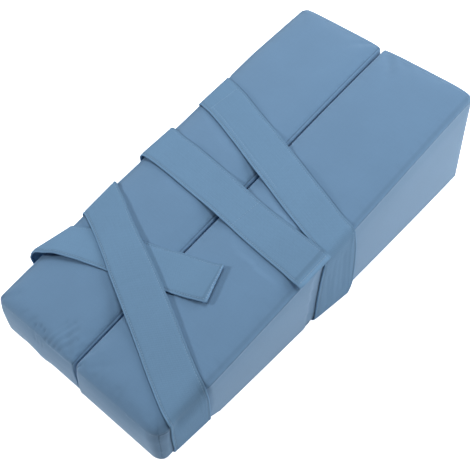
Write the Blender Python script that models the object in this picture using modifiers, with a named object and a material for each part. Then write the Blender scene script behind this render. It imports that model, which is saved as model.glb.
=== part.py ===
"""Knee pillow: two padded wedges lying side by side, held together by two cloth straps.

The pair rests on its flat underside. X runs along the pillow, from the thin end (-X) to the
thick end (+X). Y runs across it, with the left wedge at +Y. Z is up, and the surface that the
pillow lies on is z = 0. Sizes are in metres.
"""
import math

import bpy
import bmesh
import numpy as np
from mathutils import Vector

# Driving dimensions
LENGTH = 0.554
PAIR_WIDTH = 0.268
THIN_END_HEIGHT = 0.0605
THICK_END_HEIGHT = 0.1480
MIDDLE_GAP = 0.0010

# Padding: how far the cover swells between its seams, and how near the ends and the corners
# the top starts to fall (a higher power is nearer)
CROWN = 0.0026
SIDE_BOW = 0.0032
END_SWELL = 0.0024
CORNER_DROP = 0.0022
CROWN_POWER = 4
CORNER_POWER = 6

# Rounding of the padded edges
LONG_EDGE_RADIUS = 0.0070
END_EDGE_RADIUS = 0.0080
LARGEST_RADIUS = 0.0130
CORNER_RADIUS = {
    ("left", "thin", "outer"): 0.0125,
    ("left", "thin", "inner"): 0.0080,
    ("left", "thick", "outer"): 0.0090,
    ("left", "thick", "inner"): 0.0130,
    ("right", "thin", "outer"): 0.0100,
    ("right", "thin", "inner"): 0.0090,
    ("right", "thick", "outer"): 0.0070,
    ("right", "thick", "inner"): 0.0080,
}
ROUNDING_SEGMENTS = 5

# Where the cage of a wedge is cut, as shares of its half length, half width and height
CAGE_ALONG = (-0.88, -0.74, -0.56, -0.38, -0.19, 0.0, 0.19, 0.38, 0.56, 0.74, 0.88)
CAGE_ACROSS = (-0.72, -0.4, 0.0, 0.4, 0.72)
CAGE_UP = (0.3, 0.7)
SAME_PLACE = 0.000001

# Straps
STRAP_THICKNESS = 0.0020
STRAP_CLEARANCE = 0.0006
FLOOR_CLEARANCE = 0.0002
STATION_SPACING = 0.024
LEAST_TURN_STEP = 0.0001
ACROSS_SEGMENTS = 3
GROOVE_MARGIN = 0.0010
GROOVE_CLEARANCE = 0.0004
GROOVE_DEPTH = 0.0100
GROOVE_TURNS = (1.6, 3.4)

# Each row is a place on the strap's way round the pair. The turn is 0 to 1 over the top from the
# left edge to the right edge, 1 to 2 down the right side, 2 to 3 underneath and 3 to 4 up the
# left side, and then 4 to 5 over the top again. The other columns are in millimetres: how far
# the strap's two hems are from the thin end, how far each stands off the padding, and how far
# the thick-side hem is ahead of the other.
STRAP_COLUMNS = ("turn", "thin_hem", "thick_hem", "thin_lift", "thick_lift", "lead")
UPPER_STRAP = (
    (-0.55, 356, 407, 0.0, 0.0, 0),
    (0.00, 350, 404, 0.6, 0.2, 0),
    (0.25, 331, 388, 0.3, 0.0, 0),
    (0.50, 313, 365, 0.3, 0.0, 0),
    (0.75, 290, 344, 0.2, 0.0, 0),
    (1.00, 267, 317, 0.5, 1.0, 0),
    (1.25, 259, 316, 1.5, 3.0, 0),
    (1.60, 252, 313, 2.0, 5.5, 0),
    (1.85, 248, 309, 2.8, 8.0, 0),
    (1.98, 247, 302, 2.8, 8.0, 0),
    (2.12, 247, 299, 0.0, 0.0, 0),
    (2.90, 244, 296, 0.0, 0.0, 0),
    (3.10, 243, 295, 0.5, 0.5, 0),
    (3.60, 243, 296, 1.0, 0.5, 0),
    (4.00, 244, 298, 3.5, 1.5, 0),
    (4.12, 245, 298, 1.5, 0.5, 0),
    (4.50, 238, 289, 0.5, 0.3, 0),
    (4.72, 231, 281, 0.5, 1.6, 0),
    (4.84, 227, 280, 0.5, 2.8, 0),
    (4.97, 222, 274, 3.0, 4.6, 0),
    (5.003, 221, 272, 8.0, 9.5, 0),
)
LOWER_STRAP = (
    (-0.55, 141, 192, 0.0, 0.0, 0),
    (0.00, 142, 201, 0.5, 0.5, 0),
    (0.04, 137, 194, 1.6, 1.5, 0),
    (0.06, 135, 192, 3.4, 2.4, 0),
    (0.13, 126, 183, 3.8, 2.8, 0),
    (0.25, 110, 168, 3.4, 3.0, 0),
    (0.50, 78, 138, 2.8, 2.8, 0),
    (0.62, 62, 124, 1.6, 2.8, 0),
    (0.75, 45, 108, 0.3, 0.8, 0),
    (1.00, 15, 73, 0.3, 0.5, 0),
    (1.40, 13, 74, 1.0, 1.5, 0),
    (2.00, 16, 74, 1.5, 1.5, 0),
    (2.12, 19, 77, 0.0, 0.0, 0),
    (2.90, 64, 115, 0.0, 0.0, 0),
    (3.20, 66, 118, 3.0, 1.0, 0),
    (3.60, 67, 120, 12.0, 1.5, 0),
    (3.85, 67, 121, 12.0, 1.0, 0),
    (4.00, 68, 122, 6.0, 0.3, 0),
    (4.06, 82, 132, 4.5, 0.0, 0),
    (4.17, 94, 144, 2.0, 0.0, 0),
    (4.26, 102, 154, 0.3, 0.0, 0),
    (4.50, 120, 174, 0.0, 0.0, 0),
    (4.751, 144, 193, 0.6, 0.6, -15),
)

# Colours are sRGB, read off the cloth in even light
COVER_COLOUR = "6f93b5"
STRAP_COLOUR = "6c8fae"
CLOTH_ROUGHNESS = 0.85

MM = 0.001
FACES = (
    # the way the loop runs on each face, and the way out of the pillow, as (y, z)
    (Vector((-1, 0)), Vector((0, 1))),
    (Vector((0, -1)), Vector((-1, 0))),
    (Vector((1, 0)), Vector((0, -1))),
    (Vector((0, 1)), Vector((1, 0))),
)


# Setting up

def clear_scene():
    for scene_object in list(bpy.data.objects):
        bpy.data.objects.remove(scene_object, do_unlink=True)


def new_collection(name):
    collection = bpy.data.collections.new(name)
    bpy.context.scene.collection.children.link(collection)
    return collection


def linear_colour(hex_colour):
    """sRGB hex digits as linear red, green, blue and alpha."""
    shares = [int(hex_colour[i:i + 2], 16) / 255 for i in (0, 2, 4)]
    linear = [s / 12.92 if s <= 0.04045 else ((s + 0.055) / 1.055) ** 2.4 for s in shares]
    return (*linear, 1.0)


def cloth_material(name, hex_colour):
    material = bpy.data.materials.new(name)
    material.use_nodes = True
    shader = material.node_tree.nodes["Principled BSDF"]
    shader.inputs["Base Color"].default_value = linear_colour(hex_colour)
    shader.inputs["Roughness"].default_value = CLOTH_ROUGHNESS
    shader.inputs["Metallic"].default_value = 0.0
    material.diffuse_color = linear_colour(hex_colour)
    return material


def finish_object(name, bm, collection, material):
    """Turn a bmesh into a smooth-shaded object of the given collection."""
    mesh = bpy.data.meshes.new(name)
    bm.normal_update()
    bm.to_mesh(mesh)
    bm.free()
    mesh.shade_smooth()
    made = bpy.data.objects.new(name, mesh)
    if material:
        mesh.materials.append(material)
    collection.objects.link(made)
    return made


# The padded wedges

def height_at(along):
    """Height of the sloping top at a distance along from the middle of the pillow."""
    share = along / LENGTH + 0.5
    return THIN_END_HEIGHT + (THICK_END_HEIGHT - THIN_END_HEIGHT) * share


def side_bow(along):
    """How far the long outer side bows out at a distance along."""
    return SIDE_BOW * (1 - (2 * along / LENGTH) ** 2)


def wedge_point(side, a, b, c):
    """Place a cage corner: a along, b across (1 is the outer side), both -1 to 1, c 0 to 1 up."""
    block_width = (PAIR_WIDTH - MIDDLE_GAP) / 2 + side_bow(a * LENGTH / 2)
    end_swell = END_SWELL * (1 - b * b) * (1 - (2 * c - 1) ** 2)
    along = a * (LENGTH / 2 + end_swell)
    across = MIDDLE_GAP / 2 + block_width * (b + 1) / 2
    crown = CROWN * (1 - a ** CROWN_POWER) * (1 - b * b) - CORNER_DROP * (a * b) ** CORNER_POWER
    return Vector((along, side * across, c * (height_at(along) + crown)))


def edge_radius(side_name, first, second):
    """Radius for a cage edge between two corners given as (a, b, c), or none for other edges."""
    fixed = [first[i] if abs(first[i] - second[i]) < SAME_PLACE else None for i in range(3)]
    at_end = fixed[0] is not None and abs(fixed[0]) == 1
    at_side = fixed[1] is not None and abs(fixed[1]) == 1
    at_level = fixed[2] in (0, 1)
    if at_end and at_side:
        end = "thick" if fixed[0] > 0 else "thin"
        edge = "outer" if fixed[1] > 0 else "inner"
        return CORNER_RADIUS[side_name, end, edge]
    if at_end and at_level:
        return END_EDGE_RADIUS
    if at_side and at_level:
        return LONG_EDGE_RADIUS
    return None


def add_wedge(side_name, collection, material):
    side = 1 if side_name == "left" else -1
    bm = bmesh.new()
    bmesh.ops.create_cube(bm, size=2.0)
    bmesh.ops.translate(bm, verts=bm.verts, vec=(0, 0, 1))
    bmesh.ops.scale(bm, verts=bm.verts, vec=(1, 1, 0.5))
    for normal, places in (((1, 0, 0), CAGE_ALONG), ((0, 1, 0), CAGE_ACROSS), ((0, 0, 1), CAGE_UP)):
        for place in places:
            everything = bm.verts[:] + bm.edges[:] + bm.faces[:]
            cut_at = Vector(normal) * place
            bmesh.ops.bisect_plane(bm, geom=everything, plane_co=cut_at, plane_no=normal)
    weight = bm.edges.layers.float.new("bevel_weight_edge")
    for edge in bm.edges:
        first, second = [tuple(round(v, 6) for v in vert.co) for vert in edge.verts]
        radius = edge_radius(side_name, first, second)
        if radius:
            edge[weight] = radius / LARGEST_RADIUS
    for vert in bm.verts:
        vert.co = wedge_point(side, *vert.co)
    if side < 0:
        bmesh.ops.reverse_faces(bm, faces=bm.faces)
    wedge = finish_object("block_" + side_name, bm, collection, material)
    rounding = wedge.modifiers.new("padded edges", "BEVEL")
    rounding.limit_method = "WEIGHT"
    rounding.offset_type = "OFFSET"
    rounding.width = LARGEST_RADIUS
    rounding.segments = ROUNDING_SEGMENTS
    rounding.use_clamp_overlap = True
    return wedge


# The straps

def loop_point(along, turn, lift, sink):
    """Point on the loop round the pair, at a distance along from the pillow's middle.

    It stands off the padding by lift, goes no lower than the strap on the floor, and is then
    moved in towards the padding by sink.
    """
    half = PAIR_WIDTH / 2 + side_bow(along) + STRAP_CLEARANCE
    top = height_at(along) + STRAP_CLEARANCE
    bottom = STRAP_THICKNESS + FLOOR_CLEARANCE
    corners = (Vector((half, top)), Vector((-half, top)), Vector((-half, bottom)), Vector((half, bottom)))
    face = math.floor(turn) % 4
    way, outward = FACES[face]
    start, end = corners[face], corners[(face + 1) % 4]
    radius = LONG_EDGE_RADIUS + STRAP_CLEARANCE
    half_arc = radius * math.pi / 4
    straight = (end - start).length - 2 * radius
    travelled = (turn - math.floor(turn)) * (straight + 2 * half_arc)
    centre = start + (way - outward) * radius
    if travelled < half_arc:
        angle = (travelled - half_arc) / radius
    elif travelled > half_arc + straight:
        angle = (travelled - half_arc - straight) / radius
        centre = centre + way * straight
    else:
        angle = 0.0
        centre = centre + way * (travelled - half_arc)
    spoke = way * math.sin(angle) + outward * math.cos(angle)
    y, z = centre + spoke * (radius + lift)
    if face == 0:
        past_middle = max(0.0, abs(y) / half - 0.5) * 2
        z += CROWN * max(0.0, 1 - past_middle ** 2)
    return Vector((along, y, max(z, bottom))) - Vector((0, *spoke)) * sink


def strap_stations(rows):
    """Turns at which the strap's mesh has a station: close at the edges, wide on the faces."""
    radius = LONG_EDGE_RADIUS + STRAP_CLEARANCE
    half_arc = radius * math.pi / 4
    middle = np.mean([rows[0][1], rows[0][2]]) * MM - LENGTH / 2
    spans = (PAIR_WIDTH, height_at(middle), PAIR_WIDTH, height_at(middle))
    turns = {rows[0][0], rows[-1][0]}
    for face in range(math.floor(rows[0][0]), math.ceil(rows[-1][0])):
        straight = spans[face % 4] - 2 * radius
        whole = straight + 2 * half_arc
        parts = max(2, round(straight / STATION_SPACING))
        steps = [0.0, half_arc / 2, whole - half_arc / 2, whole]
        steps += [half_arc + straight * i / parts for i in range(parts + 1)]
        turns.update(face + s / whole for s in steps)
    kept = sorted(t for t in turns if rows[0][0] <= t <= rows[-1][0])
    return [t for i, t in enumerate(kept) if i == 0 or t - kept[i - 1] > LEAST_TURN_STEP]


def strap_surface(rows, turns, margin, sink):
    """Grid that follows a strap's inner face, made wider by margin and moved in by sink."""
    table = dict(zip(STRAP_COLUMNS, np.array(rows).T))
    columns = {key: np.interp(turns, table["turn"], table[key]) * MM for key in STRAP_COLUMNS[1:]}
    bm = bmesh.new()
    bmesh.ops.create_grid(bm, x_segments=len(turns) - 1, y_segments=ACROSS_SEGMENTS, size=1.0)
    for vert in bm.verts:
        i = round((vert.co.x + 1) / 2 * (len(turns) - 1))
        share = (vert.co.y + 1) / 2
        thin, thick = columns["thin_hem"][i] - margin, columns["thick_hem"][i] + margin
        lift = columns["thin_lift"][i] * (1 - share) + columns["thick_lift"][i] * share
        along = thin * (1 - share) + thick * share - LENGTH / 2
        lead = columns["lead"][i] * share / PAIR_WIDTH
        vert.co = loop_point(along, turns[i] + lead, lift, sink)
    return bm


def add_solidify(strap, thickness):
    shell = strap.modifiers.new("thickness", "SOLIDIFY")
    shell.thickness = thickness
    shell.offset = 1.0
    shell.use_even_offset = True


def add_strap(name, rows, collection, material):
    bm = strap_surface(rows, strap_stations(rows), 0.0, 0.0)
    strap = finish_object(name, bm, collection, material)
    add_solidify(strap, STRAP_THICKNESS)
    return strap


def add_groove_cutter(name, rows, collection):
    """Body that lets a strap into the underside, so that the pair still rests flat."""
    turns = [t for t in strap_stations(rows) if GROOVE_TURNS[0] <= t <= GROOVE_TURNS[1]]
    bm = strap_surface(rows, turns, GROOVE_MARGIN, GROOVE_CLEARANCE)
    cutter = finish_object(name, bm, collection, None)
    add_solidify(cutter, GROOVE_DEPTH)
    cutter.hide_render = True
    cutter.display_type = "WIRE"
    return cutter


def centre_on_origin(pieces, cutters):
    """Move the whole pillow so that the origin is the middle of the surface it covers."""
    graph = bpy.context.evaluated_depsgraph_get()
    corners = []
    for piece in pieces:
        corners += [Vector(corner) for corner in piece.evaluated_get(graph).bound_box]
    low, high = np.min(corners, axis=0), np.max(corners, axis=0)
    shift = Vector(((low[0] + high[0]) / -2, (low[1] + high[1]) / -2, -low[2]))
    for moved in pieces + cutters:
        moved.location = shift


def cut_grooves(wedge, cutters):
    for cutter in cutters:
        groove = wedge.modifiers.new("groove for " + cutter.name, "BOOLEAN")
        groove.operation = "DIFFERENCE"
        groove.solver = "EXACT"
        groove.object = cutter


# Building

def build_pillow():
    clear_scene()
    pillow = new_collection("knee_pillow")
    cutters = new_collection("cutters")
    cover = cloth_material("cover_cloth", COVER_COLOUR)
    strap_cloth = cloth_material("strap_cloth", STRAP_COLOUR)
    wedges = [add_wedge(side, pillow, cover) for side in ("left", "right")]
    straps = [
        add_strap("strap_upper", UPPER_STRAP, pillow, strap_cloth),
        add_strap("strap_lower", LOWER_STRAP, pillow, strap_cloth),
    ]
    grooves = [
        add_groove_cutter("upper_groove", UPPER_STRAP, cutters),
        add_groove_cutter("lower_groove", LOWER_STRAP, cutters),
    ]
    for wedge in wedges:
        cut_grooves(wedge, grooves)
    centre_on_origin(wedges + straps, grooves)


build_pillow()
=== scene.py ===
# %% [markdown]
# # A knee pillow of two padded wedges and two straps
#
# The real thing is two foam wedges in sewn covers. They lie side by side, low at one end and high at
# the other, and two cloth straps are wound round them. Everything here is placed in metres in the
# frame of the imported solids: +X runs from the thin end to the thick end, +Y is the left side, and the
# pillow rests on z = 0. The solids give the sizes and the middle line. The visible covers and straps
# are made anew, as fine meshes, and each one stands for its solid.

import math

import bpy
import numpy as np
from mathutils import Matrix, Vector, noise
from mathutils.bvhtree import BVHTree


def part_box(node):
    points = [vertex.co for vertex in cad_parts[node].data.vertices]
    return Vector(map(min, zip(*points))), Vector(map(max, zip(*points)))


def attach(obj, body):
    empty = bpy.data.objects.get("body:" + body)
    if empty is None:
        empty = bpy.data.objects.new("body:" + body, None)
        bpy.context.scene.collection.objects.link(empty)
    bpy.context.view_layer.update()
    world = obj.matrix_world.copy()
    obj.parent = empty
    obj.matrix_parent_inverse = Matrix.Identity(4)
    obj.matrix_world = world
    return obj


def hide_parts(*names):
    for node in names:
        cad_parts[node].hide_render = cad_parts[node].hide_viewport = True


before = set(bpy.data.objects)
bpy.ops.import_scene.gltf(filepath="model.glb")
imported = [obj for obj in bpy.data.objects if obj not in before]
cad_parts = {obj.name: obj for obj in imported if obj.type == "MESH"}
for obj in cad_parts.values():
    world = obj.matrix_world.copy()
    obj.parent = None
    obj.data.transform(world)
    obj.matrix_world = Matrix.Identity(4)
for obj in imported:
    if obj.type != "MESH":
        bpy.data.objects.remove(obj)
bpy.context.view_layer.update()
left_low, left_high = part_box("block_left")
right_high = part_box("block_right")[1]
MIDDLE_Y = (left_low.y + right_high.y) / 2
print("solids:", sorted(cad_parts), "middle line at y =", round(MIDDLE_Y, 5))

# %% [markdown]
# ## The sizes
#
# A foam wedge with a boxed cover has flat panels that swell a little between their seams. The sizes
# are the few that the solids were made with, and the cell prints the box of one solid as a check. Two
# lines of a real pillow are never quite straight: the seam between the wedges and the outline. Each
# gets a short table of how far it strays, which is read with straight stretches between its rows. All
# of it could be measured on the solids' meshes instead, but a few named sizes are easier to follow and
# to change.

# %% Sizes of the wedges
# one millimetre in metres, for the small sizes and the tables
MM = 0.001
# stands in for nothing where nothing can't be divided by
TINY = 1e-9
LENGTH = 0.554
PAIR_WIDTH = 0.268
THIN_END_HEIGHT = 0.0605
THICK_END_HEIGHT = 0.1480
MIDDLE_GAP = 0.0010
BLOCK_WIDTH = (PAIR_WIDTH - MIDDLE_GAP) / 2
# how far the middle of a top, a long side and an end stand out
CROWN = 0.0026
CROWN_POWER = 4
SIDE_BOW = 0.0032
END_SWELL = 0.0024
# how far a top sinks at its corners; the outer corner at the thick end has a size of its own
CORNER_DROP = 0.0030
FAR_CORNER_DROP = {"left": 0.0030, "right": 0.0065}
CORNER_POWER = 6
# how far the seam between the wedges strays to the left, by the distance from the thin end, both in
# millimetres
GAP_WAY = ((0, 0.0), (60, 0.0), (200, 1.2), (310, 1.2), (420, 2.4), (554, 2.9))
# how far the left outline strays outwards, likewise: a little hollow in the middle, full at the far end
OUTLINE_WAY = ((0, 0.0), (60, -1.0), (110, -2.0), (170, -1.0), (240, -1.8), (320, -2.0), (390, -0.4),
               (450, 1.4), (500, 0.8), (554, 0.6))


def height_at(along):
    """Height of the sloping top at a distance along from the middle of the pillow."""
    return THIN_END_HEIGHT + (THICK_END_HEIGHT - THIN_END_HEIGHT) * (along / LENGTH + 0.5)


def side_bow(along):
    """How far the long outer side bows out at a distance along."""
    return SIDE_BOW * (1 - (2 * along / LENGTH) ** 2)


def gap_way(along):
    """How far the line between the wedges lies to the left of the middle at a distance along."""
    places, ways = np.array(GAP_WAY).T * MM
    return np.interp(along + LENGTH / 2, places, ways)


def outline_way(along):
    """How far the left outline lies out of its bow at a distance along."""
    places, ways = np.array(OUTLINE_WAY).T * MM
    return np.interp(along + LENGTH / 2, places, ways)


def soft_step(share):
    """0 to 1 with level ends."""
    share = np.clip(share, 0, 1)
    return share * share * (3 - 2 * share)


def fall(distance, depth, reach, power=3):
    """Depth at an edge, falling smoothly to nothing at a distance of reach from it."""
    return depth * np.clip(1 - distance / reach, 0, 1) ** power


def bump(distance, width):
    """1 in the middle, with a soft fall of about width to each side."""
    return np.exp(-(distance / width) ** 2)


def segment_distance(points, start, end):
    """Distance of each point from the straight line between two places."""
    way = end - start
    share = np.clip((points - start) @ way / max(way @ way, TINY), 0, 1)
    return np.linalg.norm(points - start - share[..., None] * way, axis=-1)


print("one wedge is sewn to", LENGTH, "x", BLOCK_WIDTH, "m, and its solid measures",
      [round(size, 4) for size in left_high - left_low], "m")

# %% [markdown]
# ## The straps come first
#
# The straps press on the covers, so they are made first. Each strap is a flat sewn band that goes
# round the pair one and a half times. A curve with a flat profile is the quick way to make a band, but
# it keeps one width and twists at each corner. Here a short table says how far round the strap has
# come and where its two hems lie there, so each hem can be laid where the photo has it. The turn is 0
# to 1 over the top from the left edge to the right edge, 1 to 2 down the right side, 2 to 3
# underneath, 3 to 4 up the left side, and 4 to 5 over the top again. The other columns are in
# millimetres: the distance of each hem from the thin end, how far each hem stands off the padding, and
# how far the thick-side hem is ahead of the other. The second lap of the lower strap passes under its
# first lap, so there its hems stand off less.

# %% Tables of the straps
STRAP_THICKNESS = 0.0020
STRAP_CLEARANCE = 0.0006
FLOOR_CLEARANCE = 0.0002
LOOP_RADIUS = 0.0070 + STRAP_CLEARANCE
STRAP_COLUMNS = ("turn", "thin_hem", "thick_hem", "thin_lift", "thick_lift", "lead")
UPPER_STRAP = (
    (-0.55, 353, 404, 0.0, 0.0, 0),
    (-0.10, 350, 402.5, -1.0, -1.2, 0),
    (0.00, 347.6, 401.5, -0.6, -1.0, 0),
    (0.08, 343, 396, 0.2, 0.0, 0),
    (0.16, 336.7, 390, 0.3, 0.0, 0),
    (0.25, 328.8, 382, 0.3, 0.0, 0),
    (0.34, 321.2, 374.2, 0.3, 0.0, 0),
    (0.42, 313.8, 367.4, 0.3, 0.0, 0),
    (0.50, 306.5, 360.3, 0.3, 0.0, 0),
    (0.58, 299.2, 353.3, 0.3, 0.0, 0),
    (0.66, 292.2, 346, 0.3, 0.0, 0),
    (0.75, 284.2, 337.6, 0.2, 0.0, 0),
    (0.84, 277, 329.4, 0.3, 0.2, 0),
    (0.92, 271.2, 322, 0.4, 0.6, 0),
    (1.00, 264.5, 317, 0.5, 1.0, 0),
    (1.08, 261, 317, 1.0, 1.8, 0),
    (1.25, 256, 319, 1.5, 3.0, 0),
    (1.60, 251, 316.5, 2.0, 5.5, 0),
    (1.85, 248, 311, 2.8, 8.0, 0),
    (1.98, 247, 303, 2.8, 8.0, 0),
    (2.12, 247, 299, 0.0, 0.0, 0),
    (2.90, 244, 296, 0.0, 0.0, 0),
    (3.10, 243, 295, 0.5, 0.5, 0),
    (3.60, 243, 296, 1.0, 0.5, 0),
    (4.00, 244, 298.5, 3.5, 1.5, 0),
    (4.08, 243.7, 295.2, 2.2, 0.8, 0),
    (4.20, 241.6, 293.3, 1.2, 0.4, 0),
    (4.32, 238.7, 289.6, 0.8, 0.3, 0),
    (4.44, 236.3, 285.8, 0.5, 0.3, 0),
    (4.56, 232.5, 280.4, 0.5, 0.4, 0),
    (4.68, 228.1, 276.3, 0.5, 1.2, 0),
    (4.80, 224.6, 274, 0.5, 2.4, 0),
    (4.92, 221.7, 271.6, 1.8, 3.9, 0),
    (4.97, 220, 270, 3.0, 4.9, 0),
    (5.003, 218.7, 268.6, 8.0, 9.5, 0),
)
LOWER_STRAP = (
    (-0.55, 139, 190, 0.0, 0.0, 0),
    (0.00, 142, 198.5, 0.3, 1.8, 0),
    (0.04, 138, 192.7, 0.8, 2.0, 0),
    (0.10, 131.3, 185.5, 3.4, 4.4, 0),
    (0.16, 124, 176.7, 4.6, 5.2, 0),
    (0.22, 116, 168.3, 5.0, 5.5, 0),
    (0.28, 107.8, 161, 4.8, 5.6, 0),
    (0.34, 99.4, 153.8, 4.0, 5.6, 0),
    (0.46, 84.4, 139.5, 3.3, 5.6, 0),
    (0.58, 68.4, 124.8, 2.2, 5.5, 0),
    (0.64, 60.4, 117, 1.6, 5.3, 0),
    (0.70, 52.5, 109.1, 0.9, 4.9, 0),
    (0.76, 44.3, 101, 0.4, 4.4, 0),
    (0.82, 36.5, 92.8, 0.3, 3.8, 0),
    (0.88, 29.2, 84.9, 0.3, 2.8, 0),
    (0.94, 22.2, 77.6, 0.4, 1.8, 0),
    (1.00, 16.8, 71.5, 0.2, 1.0, 0),
    (1.08, 18.6, 71.5, -0.2, 0.8, 0),
    (1.20, 17.5, 71.8, 0.0, 0.6, 0),
    (1.40, 16, 72, 0.2, 0.6, 0),
    (1.80, 16, 71, 0.4, 1.2, 0),
    (2.00, 16, 71, 0.2, 0.6, 0),
    (2.12, 19, 77, 0.0, 0.0, 0),
    (2.90, 63, 114, 0.0, 0.0, 0),
    (3.20, 65, 117, 3.0, 1.0, 0),
    (3.60, 66, 119, 15.0, 1.0, 0),
    (3.85, 64, 119, 16.0, 0.2, 0),
    (4.00, 66.5, 119, 8.4, -1.0, 0),
    (4.06, 78.0, 128, 8.4, -1.0, 0),
    (4.17, 90, 140.5, 4.4, 0.1, 0),
    (4.22, 94.6, 145.7, 2.3, 0.2, 0),
    (4.28, 100.2, 152, 0.9, 0.2, 0),
    (4.40, 109.6, 162, 0.7, 0.3, 0),
    (4.50, 117.5, 172.0, 0.2, 0.2, 0),
    (4.62, 127.9, 181.5, 1.4, 1.8, 0),
    (4.68, 132.7, 185.3, 3.0, 3.4, -3),
    (4.767, 140.9, 188.6, 6.4, 6.2, -17),
)
STRAP_TABLES = {"upper": UPPER_STRAP, "lower": LOWER_STRAP}


def table_columns(rows):
    """The columns of a strap's table by name, with the turn as it is and the rest in metres."""
    columns = dict(zip(STRAP_COLUMNS, np.array(rows, float).T))
    return {name: column if name == "turn" else column * MM for name, column in columns.items()}


# %% [markdown]
# A strap's surface is found by walking round a loop with rounded corners, a little outside the
# padding. Shrinking a band on to the covers would pull it into the gap between the wedges, which a
# taut strap bridges. The tables are straight between their rows, which would give kinks, so each
# column is smoothed over a couple of centimetres of strap. A hem is never quite straight either: a
# slow noise moves each one by a few tenths of a millimetre.

# %% Walk round the pillow
# the way the loop runs on each face, and the way out of the pillow, as (y, z)
LOOP_FACES = (
    (Vector((-1, 0)), Vector((0, 1))),
    (Vector((0, -1)), Vector((-1, 0))),
    (Vector((1, 0)), Vector((0, -1))),
    (Vector((0, 1)), Vector((1, 0))),
)


def loop_point(along, turn, lift):
    """Point on the loop round the pair, standing off the padding by lift."""
    half = PAIR_WIDTH / 2 + side_bow(along) + STRAP_CLEARANCE
    top = height_at(along) + STRAP_CLEARANCE
    bottom = STRAP_THICKNESS + FLOOR_CLEARANCE
    corners = (Vector((half, top)), Vector((-half, top)), Vector((-half, bottom)), Vector((half, bottom)))
    face = math.floor(turn) % 4
    way, outward = LOOP_FACES[face]
    start, end = corners[face], corners[(face + 1) % 4]
    half_arc = LOOP_RADIUS * math.pi / 4
    straight = (end - start).length - 2 * LOOP_RADIUS
    travelled = (turn - math.floor(turn)) * (straight + 2 * half_arc)
    centre = start + (way - outward) * LOOP_RADIUS
    if travelled < half_arc:
        angle = (travelled - half_arc) / LOOP_RADIUS
    elif travelled > half_arc + straight:
        angle = (travelled - half_arc - straight) / LOOP_RADIUS
        centre = centre + way * straight
    else:
        angle = 0.0
        centre = centre + way * (travelled - half_arc)
    spoke = way * math.sin(angle) + outward * math.cos(angle)
    y, z = centre + spoke * (LOOP_RADIUS + lift)
    if face == 0:
        # the crown is full over the middle half of the pair and falls off towards its edges
        past_middle = max(0.0, abs(y) / half - 0.5) * 2
        z += CROWN * max(0.0, 1 - past_middle ** 2)
    return along, MIDDLE_Y + y, max(z, bottom)


def smoothed(values, reach):
    """Running weighted mean of a column over reach steps each side; the ends stay in place."""
    weights = np.cos(np.linspace(-1, 1, 2 * reach + 1) * math.pi / 2)[1:-1]
    weights /= weights.sum()
    padded_out = np.concatenate([2 * values[0] - values[reach - 1:0:-1], values,
                                 2 * values[-1] - values[-2:-reach - 1:-1]])
    return np.convolve(padded_out, weights, mode="valid")


# Blender's noise is nothing at whole numbers, so the third number is between two, and it seldom passes
# 0.6, which the gain makes up for
NOISE_LEVEL = 0.5
NOISE_GAIN = 1.6


def slow_noise(places, wavelength, lane):
    """Smooth noise of about -1 to 1 at places along a line; each lane is a noise of its own."""
    line = [Vector((place / wavelength, lane, NOISE_LEVEL)) for place in places]
    return np.array([noise.noise(point) for point in line]) * NOISE_GAIN


# %% [markdown]
# ## Stations along a strap
#
# A subdivided plane bent round the pillow would do for the eye, but rows that are set by a rule know
# how far along the strap they are, and every later step needs that. The table is walked once in small
# steps to learn the strap's length. Stations are then set along it at even distances, and closer
# together at its two ends, where the strap is folded and sewn. The columns are smoothed at even
# distances first and read at the stations after that: smoothed from station to station, the close rows
# at an end would overtake each other. At each station the strap is a row of points from hem to hem,
# closer together near the hems. The thin-side hem bends down a little towards the padding, and more so
# where the strap stands off, as a pressed hem does.

# %% Inner face of a strap
ACROSS_STEPS = 30
STATION_STEP = 2.0 * MM
END_STEPS = np.array((0, 0.15, 0.4, 0.8, 1.3, 2.0, 2.8, 3.7, 4.4, 5.0, 5.6, 6.4, 7.5)) * MM
SMOOTH_STATIONS = 4
TRIAL_TURN = 0.002
# how far the thin-side hem bends down, what share of its stand-off is added, and over what share of
# the width
HEM_BEND = 0.35 * MM
HEM_BEND_GAIN = 0.20
HEM_BEND_SHARE = 0.09
HEM_WANDER = 0.35 * MM
WANDER_LENGTH = 45 * MM
WANDER_LANES = {
    "upper": {"thin_hem": 10.0, "thick_hem": 15.0},
    "lower": {"thin_hem": 20.0, "thick_hem": 25.0},
}


def strap_stations(columns):
    """Distances of the stations along the strap's middle line, and their turns."""
    trial = np.arange(columns["turn"][0], columns["turn"][-1], TRIAL_TURN)
    middle = np.interp(trial, columns["turn"], columns["thin_hem"] + columns["thick_hem"]) / 2
    line = np.array([loop_point(m - LENGTH / 2, t, 0) for m, t in zip(middle, trial)])
    run = np.concatenate([[0], np.cumsum(np.linalg.norm(np.diff(line, axis=0), axis=1))])
    count = round((run[-1] - 2 * END_STEPS[-1]) / STATION_STEP)
    even = np.linspace(END_STEPS[-1], run[-1] - END_STEPS[-1], count + 1)[1:-1]
    stations = np.concatenate([END_STEPS, even, (run[-1] - END_STEPS)[::-1]])
    return stations, np.interp(stations, run, trial)


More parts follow.
